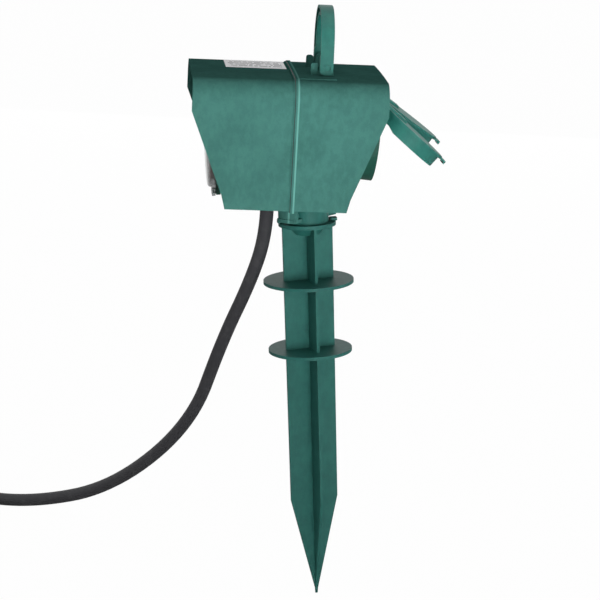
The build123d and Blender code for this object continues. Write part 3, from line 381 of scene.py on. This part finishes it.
@dataclass(frozen=True)
class SmokyCover:
    """Clear moulded plastic of a round cover, lightly frosted, with a rim made cloudier and darker
    as painted shade, the look a clear edge has at a slant.
    """

    name: str
    colour: tuple
    cover: float = 0.17            # how much a plain wall hides
    rim_cover: float = 0.45        # what the rim hides beyond that
    radius: float = 36.5 * MM
    rim_start: float = 2.6 * MM    # how far inside the edge the rim begins
    rim_full: float = 1.6 * MM     # how far inside the edge it is full
    middle: float = 0.0            # the height of the cover's middle

    def make(self) -> bpy.types.Material:
        """Build the material."""
        net = Network(self.name)
        haze = net.noise(240.0, 4.0, 0.6)
        across, up = net.along("Y"), net.along("Z") - self.middle
        # Painted shade: the rim is made denser, as a clear edge looks when seen at a slant.
        rim = (across * across + up * up).ramp((self.radius - self.rim_start) ** 2,
                                               (self.radius - self.rim_full) ** 2)
        milky = tuple(1.3 * channel for channel in self.colour)
        net.set(Base_Color=net.colour_mix(haze, self.colour, milky),
                Roughness=0.16 + 0.12 * haze,
                Alpha=self.cover + 0.06 * haze + self.rim_cover * rim, Coat_Weight=0.4)
        net.bump(net.noise(160.0, 2.0), 0.00001, 0.2)
        return net.material


@dataclass(frozen=True)
class FoilLabel:
    """Matt silver foil of a rating plate, with rows of plain dashes in place of words, and a faint
    painted glow in its own colour.
    """

    name: str
    corner: tuple
    size: tuple
    colour: tuple = srgb(206, 206, 208)
    ink: tuple = srgb(44, 44, 50)
    rows: int = 6
    dashes: float = 22.0           # how many fit along a row

    def make(self) -> bpy.types.Material:
        """Build the material."""
        net = Network(self.name)
        fibre = net.noise(1500.0, 3.0, 0.6, (1.0, 8.0, 1.0))
        across = (net.along("X") - self.corner[0]) / self.size[0]
        down = (net.along("Y") - self.corner[1]) / self.size[1]
        row = down * self.rows
        line = row.rest().ramp(0.24, 0.3) * (1 - row.rest().ramp(0.68, 0.74))
        spot = net.point(across * self.dashes, row.whole() * 7.3)
        dash = net.noise(1.0, 0.0, where=spot).ramp(0.38, 0.42)
        inside = across.ramp(0.05, 0.06) * (1 - across.ramp(0.94, 0.95))
        inside = inside * down.ramp(0.1, 0.11) * (1 - down.ramp(0.9, 0.91))
        paper = net.colour_mix(fibre, self.colour, srgb(226, 226, 228))
        face = net.colour_mix(0.95 * line * dash * inside, paper, self.ink)
        # Painted light: the plate glows faintly in its own colour so that it stays pale in the
        # roof's shade.
        net.set(Base_Color=face, Emission_Color=face, Emission_Strength=0.1,
                Metallic=0.1, Roughness=0.4 + 0.1 * fibre)
        net.bump(fibre, 0.00001, 0.3)
        return net.material


@dataclass(frozen=True)
class PrintedInk:
    """Flat printing ink with a slightly uneven tone."""

    name: str
    colour: tuple

    def make(self) -> bpy.types.Material:
        """Build the material."""
        net = Network(self.name)
        speck = net.noise(3000.0, 2.0)
        lighter = tuple(min(1.0, c + 0.05) for c in self.colour)
        net.set(Base_Color=net.colour_mix(speck, self.colour, lighter), Roughness=0.5 + 0.1 * speck)
        return net.material


class Finishes:
    """Every finish of the object, by the record's material slot."""

    # Nodes whose finish differs from their slot's: painted pins, matt shells with a painted
    # highlight on the rib, and the spike in a darker copy of the green that is painted shade
    own = {"handle_pins": "housing_green", "timer_shell": "shell_green",
           "socket_shell": "shell_green", "ground_spike": "spike_green_shaded"}

    def __init__(self) -> None:
        """Make the materials once."""
        green = MouldedPlastic("green_housing", srgb(43, 112, 102), srgb(30, 92, 84))
        # The shells' rib crest gets a painted highlight.
        shell = MouldedPlastic("green_shell", srgb(70, 120, 112), srgb(57, 102, 95), 0.6, gloss=0.0,
                               crest=(SEAM_X + 1.3 * MM, SEAM_X + 2.7 * MM))
        low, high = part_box("dial")
        cover = SmokyCover("smoky_cover", srgb(130, 138, 137), middle=(low[2] + high[2]) / 2)
        # Painted shade: the spike's green is a darker copy of the housing's.
        spike = MouldedPlastic("green_spike_shaded", srgb(40, 100, 92), srgb(29, 82, 76))
        self.by_slot = {
            "housing_green": green.make(),
            "shell_green": shell.make(),
            "spike_green_shaded": spike.make(),
            "insert_green": MouldedPlastic("dark_green_insert", srgb(24, 72, 60),
                                           srgb(20, 64, 53), 0.45).make(),
            "cover_clear": cover.make(),
            "dial_white": MouldedPlastic("pale_dial", srgb(222, 222, 214), srgb(212, 212, 204),
                                         0.4, 0.00001).make(),
            "segment_red": MouldedPlastic("red_segment", srgb(186, 62, 46), srgb(172, 52, 38),
                                          0.4, 0.00001).make(),
            "switch_red": MouldedPlastic("red_switch", srgb(178, 48, 36), srgb(166, 42, 32),
                                         0.35, 0.00001).make(),
            "gear_white": MouldedPlastic("gear_plastic", srgb(224, 222, 208),
                                         srgb(214, 212, 198)).make(),
            "inner_grey": MouldedPlastic("inner_grey", srgb(150, 152, 154),
                                         srgb(140, 142, 144)).make(),
            "inner_black": MouldedPlastic("inner_black", srgb(46, 46, 48), srgb(40, 40, 42)).make(),
            "motor_steel": WorkedMetal("motor_can", (0.6, 0.6, 0.62), (0.5, 0.5, 0.52)).make(),
            "steel": WorkedMetal("bright_steel", (0.66, 0.66, 0.67), (0.52, 0.52, 0.53),
                                 0.24).make(),
            "brass": WorkedMetal("brass", (0.78, 0.6, 0.28), (0.62, 0.46, 0.2), 0.26).make(),
            "seal_rubber": SoftRubber("seal_rubber", srgb(44, 44, 45), srgb(56, 56, 56)).make(),
            "cable_rubber": SoftRubber("cable_rubber", srgb(50, 50, 53), srgb(64, 64, 66)).make(),
            "plug_rubber": SoftRubber("plug_rubber", srgb(42, 42, 44), srgb(54, 54, 56),
                                      0.5).make(),
            "wire_cover": MouldedPlastic("wire_cover", srgb(60, 110, 180), srgb(54, 100, 168),
                                         0.3, 0.00001).make(),
        }
        self.label = FoilLabel("plate_foil", HousingLabel.corner(), HousingLabel.size()).make()
        self.ink = PrintedInk("dial_ink", srgb(40, 42, 44)).make()

    def dress_nodes(self) -> None:
        """Give every CAD node the finish of its slot."""
        for part in frame["record"]["subparts"]:
            node = bpy.data.objects.get(part["node"])
            if node is None:
                LOG.warning("no node %s", part["node"])
                continue
            node.data.materials.clear()
            slot = self.own.get(part["node"], part["material_slot"])
            node.data.materials.append(self.by_slot[slot])
            LOG.info("dressed %s", part["node"])


# Modelling by operators


def deselect() -> None:
    """Leave nothing selected."""
    if bpy.context.mode != "OBJECT":
        bpy.ops.object.mode_set(mode="OBJECT")
    bpy.ops.object.select_all(action="DESELECT")


def only(piece: bpy.types.Object) -> None:
    """Select one piece alone and make it active.

    Args:
        piece: the piece.
    """
    deselect()
    piece.select_set(True)
    bpy.context.view_layer.objects.active = piece


def settle(piece: bpy.types.Object, place: Optional[Matrix] = None) -> None:
    """Put a piece's place into its mesh.

    Args:
        piece: the piece.
        place: a matrix that moves it first.
    """
    only(piece)
    if place is not None:
        piece.matrix_world = place @ piece.matrix_world
    bpy.ops.object.transform_apply(location=True, rotation=True, scale=True)


def finish_piece(piece: bpy.types.Object, name: str, body: str,
                 material: bpy.types.Material) -> bpy.types.Object:
    """Name a piece, dress it and let it ride on its body.

    Args:
        piece: the finished object.
        name: its name.
        body: the body that carries it.
        material: its finish.

    Returns:
        The piece.
    """
    piece.name = name
    piece.data.name = name
    piece.data.materials.clear()
    piece.data.materials.append(material)
    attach(piece, body)
    LOG.info("made %s", name)
    return piece


def edit_faces(piece: bpy.types.Object, wanted: Callable[[Vector, Vector], bool]) -> None:
    """Enter edit mode with some faces selected.

    Args:
        piece: the piece.
        wanted: tells from a face's centre and normal whether it is selected.
    """
    only(piece)
    bpy.ops.object.mode_set(mode="EDIT")
    bpy.ops.mesh.select_mode(type="FACE")
    mesh = bmesh.from_edit_mesh(piece.data)
    for face in mesh.faces:
        face.select_set(wanted(face.calc_center_median(), face.normal))
    bmesh.update_edit_mesh(piece.data)


def drawn_up(corners: int, radius: float, height: float,
             location: Sequence[float] = (0, 0, 0)) -> bpy.types.Object:
    """Draw a flat round outline up into a solid.

    Args:
        corners: how many corners the outline has.
        radius: from its middle to a corner.
        height: how far it is drawn up.
        location: where its middle stands.

    Returns:
        The solid, with its faces outwards.
    """
    deselect()
    bpy.ops.mesh.primitive_circle_add(vertices=corners, radius=radius, fill_type="NGON",
                                      location=location)
    piece = bpy.context.object
    edit_faces(piece, lambda centre, normal: True)
    bpy.ops.mesh.extrude_region_move(TRANSFORM_OT_translate={"value": (0, 0, height)})
    bpy.ops.mesh.select_all(action="SELECT")
    bpy.ops.mesh.normals_make_consistent(inside=False)
    bpy.ops.object.mode_set(mode="OBJECT")
    return piece


def sink_top(piece: bpy.types.Object, rim: float, slope: float, depth: float) -> None:
    """Press the upper face in, inside a rim.

    Args:
        piece: the piece.
        rim: how wide the rim is.
        slope: how wide the slope inside the rim is.
        depth: how deep the face goes.
    """
    edit_faces(piece, lambda centre, normal: normal.z > 0.9)
    bpy.ops.mesh.inset(thickness=rim, depth=0.0)
    bpy.ops.mesh.inset(thickness=slope, depth=-depth)
    bpy.ops.object.mode_set(mode="OBJECT")


def soften(piece: bpy.types.Object, width: float) -> None:
    """Round a piece's sharp edges and shade it smooth.

    Args:
        piece: the piece.
        width: how wide the rounding is.
    """
    only(piece)
    edge = piece.modifiers.new("edge", "BEVEL")
    edge.width = width
    edge.segments = 2
    edge.limit_method = "ANGLE"
    edge.angle_limit = SHARP
    bpy.ops.object.modifier_apply(modifier=edge.name)
    bpy.ops.object.shade_smooth_by_angle(angle=SHARP)


def joined(pieces: Sequence[bpy.types.Object]) -> bpy.types.Object:
    """Join pieces into the first one.

    Args:
        pieces: what is joined.

    Returns:
        The joined piece.
    """
    deselect()
    for piece in pieces:
        piece.select_set(True)
    bpy.context.view_layer.objects.active = pieces[0]
    bpy.ops.object.join()
    return bpy.context.object


def timer_plane(out: float, turn: float = 0.0) -> Matrix:
    """The timer panel's own frame, out from its face, turned about the dial's axis.

    Args:
        out: metres in front of the panel.
        turn: radians, positive against the clock as seen from the front.

    Returns:
        The frame as a matrix: x along -Y, y up the panel, z out of it.
    """
    cosine, sine = math.cos(PANEL_TILT), math.sin(PANEL_TILT)
    across, up = Vector((0, -1, 0)), Vector((-sine, 0, cosine))
    normal = Vector((-cosine, 0, -sine))
    turned = Matrix((across, up, normal)).transposed().to_4x4()
    centre = DIAL_CENTRE + normal * out
    return Matrix.Translation(centre) @ turned @ Matrix.Rotation(turn, 4, "Z")


# Sub-assemblies


@dataclass
class HousingLabel:
    """The rating plate, with no words on it, that lies on the roof of the timer end."""

    length: float = 41.5 * MM
    width: float = 41.0 * MM
    x: float = -59.6 * MM
    y: float = 23.2 * MM
    thick: float = 0.12 * MM
    start: float = 92 * MM         # how far over the head's floor the flat sheet starts
    gap: float = 0.05 * MM         # left under the sheet once it lies on the roof
    cells: int = 24                # along each side of the sheet

    @classmethod
    def size(cls) -> tuple:
        """The plate's length and width."""
        return (cls.length, cls.width)

    @classmethod
    def corner(cls) -> tuple:
        """The plate's corner with the lowest coordinates."""
        return (cls.x - cls.length / 2, cls.y - cls.width / 2)

    def build(self, finishes: Finishes) -> None:
        """Model the plate over the roof's crown and dress it.

        Args:
            finishes: the object's finishes.
        """
        deselect()
        bpy.ops.mesh.primitive_grid_add(x_subdivisions=self.cells, y_subdivisions=self.cells,
                                        size=1.0, location=(self.x, self.y, HEAD_Z + self.start))
        plate = bpy.context.object
        plate.scale = (self.length, self.width, 1.0)
        settle(plate)
        wrap = plate.modifiers.new("lie", "SHRINKWRAP")
        wrap.target = bpy.data.objects["timer_shell"]
        wrap.wrap_method = "PROJECT"
        wrap.use_project_z = True
        wrap.use_negative_direction = True
        wrap.use_positive_direction = False
        wrap.offset = self.gap
        bpy.ops.object.modifier_apply(modifier=wrap.name)
        wall = plate.modifiers.new("wall", "SOLIDIFY")
        wall.thickness = self.thick
        wall.offset = 1.0
        bpy.ops.object.modifier_apply(modifier=wall.name)
        finish_piece(plate, "rating_plate", "head", finishes.label)


@dataclass
class SeamBead:
    """The dark edge of the seal between the two shells beside the seam rib, which also stands as
    painted shade on the rib's unlit side.
    """

    seam: float = SEAM_X
    cut: float = 0.65 * MM         # where the outline is taken, on the lesser rib
    radius: float = 0.34 * MM
    before: float = 0.4            # how many radii before the seam it lies

    def build(self, finishes: Finishes) -> None:
        """Take the outline from the shell, thicken it and dress it.

        Args:
            finishes: the object's finishes.
        """
        shell = bpy.data.objects["timer_shell"]
        bead = bpy.data.objects.new("seam_bead", shell.data.copy())
        bpy.context.scene.collection.objects.link(bead)
        bead.matrix_world = shell.matrix_world
        edit_faces(bead, lambda centre, normal: True)
        bpy.ops.mesh.bisect(plane_co=(self.seam - self.cut, 0, 0), plane_no=(1, 0, 0),
                            clear_inner=True, clear_outer=True)
        bpy.ops.object.mode_set(mode="OBJECT")
        self.keep_outline(bead)
        bead.location.x += self.cut - self.before * self.radius
        settle(bead)
        bpy.ops.object.convert(target="CURVE")
        bead = bpy.context.object
        bead.data.bevel_depth = self.radius
        bead.data.bevel_resolution = 3
        bpy.ops.object.convert(target="MESH")
        bead = bpy.context.object
        bpy.ops.object.shade_smooth_by_angle(angle=math.radians(50))
        # Dark seal rubber, and painted shade beside the rib.
        finish_piece(bead, "seam_bead", "head", finishes.by_slot["seal_rubber"])

    @staticmethod
    def keep_outline(piece: bpy.types.Object) -> None:
        """Leave only the loop that holds the highest point.

        Args:
            piece: the piece, cut to loops of edges.
        """
        only(piece)
        bpy.ops.object.mode_set(mode="EDIT")
        bpy.ops.mesh.select_mode(type="VERT")
        bpy.ops.mesh.select_all(action="SELECT")
        bpy.ops.mesh.remove_doubles(threshold=0.02 * MM)
        bpy.ops.mesh.select_all(action="DESELECT")
        mesh = bmesh.from_edit_mesh(piece.data)
        highest = max(mesh.verts, key=lambda vert: vert.co.z)
        highest.select_set(True)
        bmesh.update_edit_mesh(piece.data)
        bpy.ops.mesh.select_linked()
        bpy.ops.mesh.select_all(action="INVERT")
        bpy.ops.mesh.delete(type="VERT")
        bpy.ops.object.mode_set(mode="OBJECT")


@dataclass
class DialPrint:
    """The hour numbers and ticks printed on the dial."""

    face: float = 3.74 * MM        # printed just above the dial's ring
    number_r: float = 20.6 * MM
    number_size: float = 3.3 * MM
    tick_r: float = 24.3 * MM
    tick_length: float = 1.5 * MM
    tick_width: float = 0.32 * MM
    half_hour: float = 0.55        # how long its tick is beside a full hour's
    relief: float = 0.03 * MM      # how far the print stands to either side of its plane
    hours: int = 24

    def build(self, finishes: Finishes) -> None:
        """Model numbers and ticks, join each set and dress them.

        Args:
            finishes: the object's finishes.
        """
        numbers = [self.number(hour) for hour in range(2, self.hours + 1, 2)]
        finish_piece(joined(numbers), "dial_numbers", "dial", finishes.ink)
        ticks = [self.tick(index) for index in range(2 * self.hours)]
        finish_piece(joined(ticks), "dial_ticks", "dial", finishes.ink)

    def angle(self, hour: float) -> float:
        """Where an hour stands round the dial, from the sketch's x axis."""
        return -2 * math.pi * hour / self.hours

    def number(self, hour: int) -> bpy.types.Object:
        """One number, upright when its hour is at the top.

        Args:
            hour: the number and where it stands.

        Returns:
            The number as a mesh.
        """
        deselect()
        bpy.ops.object.text_add(location=(0, 0, 0))
        text = bpy.context.object
        text.data.body = str(hour)
        text.data.align_x = "CENTER"
        text.data.align_y = "CENTER"
        text.data.size = self.number_size
        text.data.extrude = self.relief
        text.data.resolution_u = 3
        bpy.ops.object.convert(target="MESH")
        text = bpy.context.object
        outwards = Matrix.Translation((0, self.number_r, 0))
        turned = timer_plane(self.face, self.angle(hour) - math.pi / 2)
        settle(text, turned @ outwards)
        return text

    def tick(self, index: int) -> bpy.types.Object:
        """One tick, longer at a full hour.

        Args:
            index: the half hour that it stands at.

        Returns:
            The tick.
        """
        length = self.tick_length * (1.0 if index % 2 == 0 else self.half_hour)
        deselect()
        bpy.ops.mesh.primitive_cube_add(size=1.0, location=(0, self.tick_r - length / 2, 0))
        bar = bpy.context.object
        bar.scale = (self.tick_width, length, 2 * self.relief)
        settle(bar)
        settle(bar, timer_plane(self.face, self.angle(index / 2) - math.pi / 2))
        return bar


@dataclass
class HubKnob:
    """The fluted setting knob on the dial's hub, with an arrow that shows which way it turns."""

    face: float = 4.95 * MM        # the hub's own face in front of the panel
    radius: float = 11.0 * MM
    height: float = 1.3 * MM
    flutes: int = 30
    flute_depth: float = 0.35 * MM
    flute_edge: float = 0.12 * MM  # left between a flute and the next
    rim: float = 1.1 * MM
    slope: float = 0.35 * MM       # from the rim down into the dish
    dish: float = 0.5 * MM
    rounding: float = 0.07 * MM
    arrow_radius: float = 2.6 * MM
    arrow_out: float = 5.2 * MM    # from the hub's middle to the arrow's
    arrow_height: float = 0.3 * MM
    arrow_rounding: float = 0.06 * MM

    def build(self, finishes: Finishes) -> None:
        """Model the knob and its arrow and dress them.

        Args:
            finishes: the object's finishes.
        """
        finish_piece(self.knob(), "hub_knob", "dial", finishes.by_slot["dial_white"])
        finish_piece(self.arrow(), "hub_arrow", "dial",
                     finishes.by_slot["switch_red"])

    def knob(self) -> bpy.types.Object:
        """Make a disc, fluted round its edge and dished on top.

        Returns:
            The knob.
        """
        knob = drawn_up(2 * self.flutes, self.radius, self.height)
        step = math.pi / self.flutes
        edit_faces(knob, lambda centre, normal: abs(normal.z) < 0.5
                   and round(math.atan2(centre.y, centre.x) / step - 0.5) % 2 == 0)
        bpy.ops.mesh.inset(thickness=self.flute_edge, depth=-self.flute_depth,
                           use_individual=True)
        bpy.ops.object.mode_set(mode="OBJECT")
        sink_top(knob, self.rim, self.slope, self.dish)
        soften(knob, self.rounding)
        settle(knob, timer_plane(self.face))
        return knob

    def arrow(self) -> bpy.types.Object:
        """Make a raised pointer in the dish.

        Returns:
            The arrow.
        """
        arrow = drawn_up(3, self.arrow_radius, self.arrow_height, (0, self.arrow_out, 0))
        soften(arrow, self.arrow_rounding)
        settle(arrow, timer_plane(self.face + self.height - self.dish))
        return arrow


@dataclass
class OutletShutters:
    """The sprung discs that close an outlet's pin holes behind the well's floor."""

    face_x: float = 6.297 * MM     # the panel's face at the outlets' height
    face_z: float = 332.223 * MM
    spacing: float = 27.8 * MM
    pitch: float = 19.0 * MM
    radius: float = 2.6 * MM
    thick: float = 0.5 * MM
    depth: float = -3.4 * MM       # behind the panel's face
    rim: float = 0.5 * MM
    slope: float = 0.3 * MM        # from the rim down into the dimple
    dimple: float = 0.15 * MM
    rounding: float = 0.05 * MM

    def build(self, finishes: Finishes) -> None:
        """Model four discs, two to an outlet, and dress them.

        Args:
            finishes: the object's finishes.
        """
        discs = [self.disc(outlet * self.spacing + side * self.pitch / 2)
                 for outlet in (-1, 1) for side in (-1, 1)]
        finish_piece(joined(discs), "outlet_shutters", "head",
                     finishes.by_slot["inner_grey"])

    def disc(self, y: float) -> bpy.types.Object:
        """One disc with a raised ring and a dimple that lets the pin find its way.

        Args:
            y: where it stands across the panel.

        Returns:
            The disc.
        """
        disc = drawn_up(32, self.radius, self.thick)
        sink_top(disc, self.rim, self.slope, self.dimple)
        soften(disc, self.rounding)
        outwards = Vector((math.cos(PANEL_TILT), 0, -math.sin(PANEL_TILT)))
        up = Vector((math.sin(PANEL_TILT), 0, math.cos(PANEL_TILT)))
        turned = Matrix((Vector((0, 1, 0)), up, outwards)).transposed().to_4x4()
        centre = Vector((self.face_x, y, self.face_z)) + outwards * self.depth
        settle(disc, Matrix.Translation(centre) @ turned)
        return disc


@dataclass
class TieBuckle:
    """The moulded head of the cable tie, on top of the coil's bundle."""

    length: float = 9.0 * MM
    width: float = 11.0 * MM
    height: float = 3.6 * MM
    rim: float = 1.2 * MM
    slope: float = 0.4 * MM        # from the rim down into the slot
    slot: float = 0.7 * MM
    rounding: float = 0.35 * MM

    def build(self, finishes: Finishes) -> bpy.types.Object:
        """Model the head on the strap and dress it.

        Args:
            finishes: the object's finishes.

        Returns:
            The buckle.
        """
        low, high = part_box("cable_tie")
        middle = ((low[0] + high[0]) / 2, (low[1] + high[1]) / 2, high[2] + self.height / 2)
        deselect()
        bpy.ops.mesh.primitive_cube_add(size=1.0, location=middle)
        buckle = bpy.context.object
        buckle.scale = (self.length, self.width, self.height)
        settle(buckle)
        sink_top(buckle, self.rim, self.slope, self.slot)
        soften(buckle, self.rounding)
        finish_piece(buckle, "tie_buckle", "head", finishes.by_slot["seal_rubber"])
        return buckle


@dataclass
class SupplyCable:
    """The rubber cable from its bush to the coil and the plug, as one curve."""

    radius: float = 4.75 * MM
    floor_gap: float = 0.7 * MM
    coil_x: float = -330.0 * MM
    coil_y: float = 132.0 * MM
    coil_rest_r: float = 58.0 * MM
    coil_shrink: float = 13.6 * MM
    coil_turns: int = 3
    coil_layer: float = 10.3 * MM
    climb_turns: float = 0.5       # what the climb to the upper layer takes, half way round
    points_per_turn: int = 18
    plug_axis: float = 19.3 * MM
    length: float = 1531 * MM

    def coil_point(self, turn: float) -> tuple:
        """The coil's centre line.

        Args:
            turn: turns from the coil's start.

        Returns:
            The point.
        """
        full = 2 * math.pi * turn
        drawn_in = (1 - math.cos(2 * math.pi * turn / self.coil_turns)) / 2
        ring = self.coil_rest_r - self.coil_shrink * drawn_in
        climb = (turn - self.coil_turns / 2 + self.climb_turns / 2) / self.climb_turns
        climb = min(max(climb, 0), 1)
        rise = self.coil_layer * climb * climb * (3 - 2 * climb)
        low = self.radius + self.floor_gap
        return (self.coil_x - ring * math.sin(full), self.coil_y + ring * math.cos(full),
                low + rise)

    def route(self) -> list:
        """Lay out every control point, from the bush to the plug.

        Returns:
            The points.
        """
        low = self.radius + self.floor_gap
        start_y = self.coil_y + self.coil_rest_r
        free = [(-48.203, 0, 280.723), (-48.203, 0, 261.0), (-56.5, 9.0, 227.0),
                (-73.5, 43.0, 174.0), (-91.5, 84.0, 99.0), (-148.0, 133.0, 33.0)]
        points = [tuple(v * MM for v in point) for point in free]
        points += [(-210.0 * MM, 170.0 * MM, low + 2.0 * MM), (-262.0 * MM, start_y, low),
                   (-320.5 * MM, start_y, low)]
        count = self.points_per_turn * self.coil_turns
        points += [self.coil_point(i / self.points_per_turn) for i in range(count + 1)]
        end = Vector(self.coil_point(self.coil_turns)) - Vector((2 * self.radius, 0, 0))
        points += [tuple(end), (end.x - 16.0 * MM, end.y, end.z),
                   (end.x - 34.0 * MM, end.y + 0.8 * MM, self.plug_axis),
                   (end.x - 50.0 * MM, end.y + 0.8 * MM, self.plug_axis)]
        return points

    def build(self, finishes: Finishes, buckle: bpy.types.Object) -> None:
        """Args:
            finishes: the object's finishes.
            buckle: the tie's buckle, which lies on the coil; it is not used.
        """
        points = self.route()
        curve = bpy.data.curves.new("supply_cable", "CURVE")
        curve.dimensions = "3D"
        curve.bevel_depth = self.radius
        curve.bevel_resolution = 5
        curve.resolution_u = 10
        curve.use_fill_caps = True
        spline = curve.splines.new("NURBS")
        spline.points.add(len(points) - 1)
        for point, place in zip(spline.points, points):
            point.co = (*place, 1.0)
        spline.order_u = 3
        spline.use_endpoint_u = True
        piece = bpy.data.objects.new("supply_cable", curve)
        bpy.context.scene.collection.objects.link(piece)
        finish_piece(piece, "supply_cable", "head",
                     finishes.by_slot["cable_rubber"])
        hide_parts("cable", "cable_coil", "cable_tail")
        with_pieces = [bpy.data.objects[name]
                       for name in ("plug_body", "plug_pins", "plug_earths", "cable_tie")]
        with_pieces.append(buckle)


# Stage, light and camera


@dataclass(frozen=True)
class Lamp:
    """A soft square lamp that looks at a point."""

    name: str
    place: tuple
    target: tuple
    size: float                    # of a side
    power: float                   # watts
    spread: float = 180.0          # how wide its beam opens, in degrees
    gleam: bool = False            # whether it shows in glossy surfaces

    def hang(self) -> None:
        """Add the lamp to the scene."""
        light = bpy.data.lights.new(self.name, "AREA")
        light.spread = math.radians(self.spread)
        light.size = self.size
        light.energy = self.power
        lamp = bpy.data.objects.new(self.name, light)
        lamp.location = self.place
        lamp.visible_glossy = self.gleam
        way = Vector(self.target) - Vector(self.place)
        lamp.rotation_euler = way.to_track_quat("-Z", "Y").to_euler()
        bpy.context.scene.collection.objects.link(lamp)


@dataclass
class Studio:
    """Pale floor, soft lamps and a bright surround."""

    floor_size: float = 12.0
    floor_tone: float = 0.7
    floor_glow: float = 0.985      # how much of the floor's colour the camera sees as white
    world_strength: float = 0.07
    lamps: tuple = (
        Lamp("key", (0.3, -1.15, 0.06), (-0.03, 0, 0.45), 0.45, 2.5, 60.0),
        Lamp("front", (0.3, -2.3, 0.42), (-0.03, 0, 0.4), 1.2, 6.5, 90.0),
        Lamp("fill", (-1.2, -1.9, 0.3), (-0.04, 0, 0.36), 1.1, 2.2),
        Lamp("top", (0.1, -0.5, 2.3), (-0.04, 0, 0.3), 1.6, 9.5, gleam=True),
        Lamp("back", (0.2, 2.2, 0.3), (-0.02, 0, 0.3), 1.4, 16.0),
        Lamp("right", (2.2, -0.3, 0.3), (-0.02, 0, 0.3), 1.4, 9.0),
        Lamp("left", (-2.2, 0.2, 0.3), (-0.02, 0, 0.3), 1.4, 8.0),
    )

    def build(self) -> None:
        """Lay the floor, put the surround round it and hang the lamps."""
        self.floor()
        self.surround()
        for lamp in self.lamps:
            lamp.hang()

    def floor(self) -> None:
        """A wide pale floor that the camera sees almost white, with a faint shadow."""
        deselect()
        bpy.ops.mesh.primitive_plane_add(size=self.floor_size, location=(0, 0, 0))
        ground = bpy.context.object
        ground.name = "floor"
        net = Network("pale_floor")
        net.set(Base_Color=rgba((self.floor_tone,) * 3), Roughness=0.9)
        glow = net.add("ShaderNodeEmission", sockets={"Color": rgba((1, 1, 1)), "Strength": 1.0})
        seen = net.add("ShaderNodeLightPath", output="Is Camera Ray")
        lit = Wire(net, net.shader.outputs[0])
        mixed = net.add("ShaderNodeMixShader",
                        sockets={0: seen * self.floor_glow, 1: lit, 2: glow})
        net.join(mixed, net.output.inputs["Surface"])
        ground.data.materials.append(net.material)

    def surround(self) -> None:
        """A soft world that is white to the camera, in reflections and through clear plastic."""
        world = bpy.data.worlds.new("surround")
        bpy.context.scene.world = world
        world.use_nodes = True
        tree = world.node_tree
        back = tree.nodes["Background"]
        back.inputs["Color"].default_value = (1, 1, 1, 1)
        path = tree.nodes.new("ShaderNodeLightPath")
        seen = path.outputs["Is Camera Ray"]
        for kind in ("Is Transmission Ray", "Is Glossy Ray"):
            either = tree.nodes.new("ShaderNodeMath")
            either.operation = "MAXIMUM"
            tree.links.new(seen, either.inputs[0])
            tree.links.new(path.outputs[kind], either.inputs[1])
            seen = either.outputs[0]
        strength = tree.nodes.new("ShaderNodeMapRange")
        strength.inputs["To Min"].default_value = self.world_strength
        strength.inputs["To Max"].default_value = 1.0
        tree.links.new(seen, strength.inputs["Value"])
        tree.links.new(strength.outputs[0], back.inputs["Strength"])


@dataclass
class Viewpoint:
    """The camera at the photograph's viewing angle, fitted to the object's own corners."""

    azimuth: float = math.radians(-4.82)
    elevation: float = math.radians(13.06)
    roll: float = math.radians(2.78)
    distance: float = 1.6314
    target: tuple = (-0.0222, 0.0, 0.2159)
    focal_pixels: float = 2335.1
    frame_pixels: float = 600.0
    sensor: float = 36.0

    def build(self) -> None:
        """Place the camera."""
        data = bpy.data.cameras.new("viewpoint")
        data.sensor_fit = "HORIZONTAL"
        data.sensor_width = self.sensor
        data.lens = self.focal_pixels / self.frame_pixels * self.sensor
        data.clip_start = 0.05
        flat = math.cos(self.elevation)
        ahead = Vector((-math.sin(self.azimuth) * flat, math.cos(self.azimuth) * flat,
                        -math.sin(self.elevation)))
        level = Vector((math.cos(self.azimuth), math.sin(self.azimuth), 0))
        upright = level.cross(ahead)
        cosine, sine = math.cos(self.roll), math.sin(self.roll)
        right = level * cosine + upright * sine
        up = upright * cosine - level * sine
        turned = Matrix((right, up, -ahead)).transposed().to_4x4()
        camera = bpy.data.objects.new("viewpoint", data)
        stand = Vector(self.target) - ahead * self.distance
        camera.matrix_world = Matrix.Translation(stand) @ turned
        bpy.context.scene.collection.objects.link(camera)
        bpy.context.scene.camera = camera


def main() -> None:
    """Dress the CAD nodes, add the pieces, and set the stage and the camera."""
    logging.basicConfig(level=logging.INFO, format="%(name)s: %(message)s")
    bpy.context.scene.view_settings.view_transform = "Standard"
    Viewpoint().build()
    finishes = Finishes()
    finishes.dress_nodes()
    buckle = TieBuckle().build(finishes)
    SupplyCable().build(finishes, buckle)
    HousingLabel().build(finishes)
    SeamBead().build(finishes)
    DialPrint().build(finishes)
    HubKnob().build(finishes)
    OutletShutters().build(finishes)
    Studio().build()


if __name__ == "__main__":
    main()
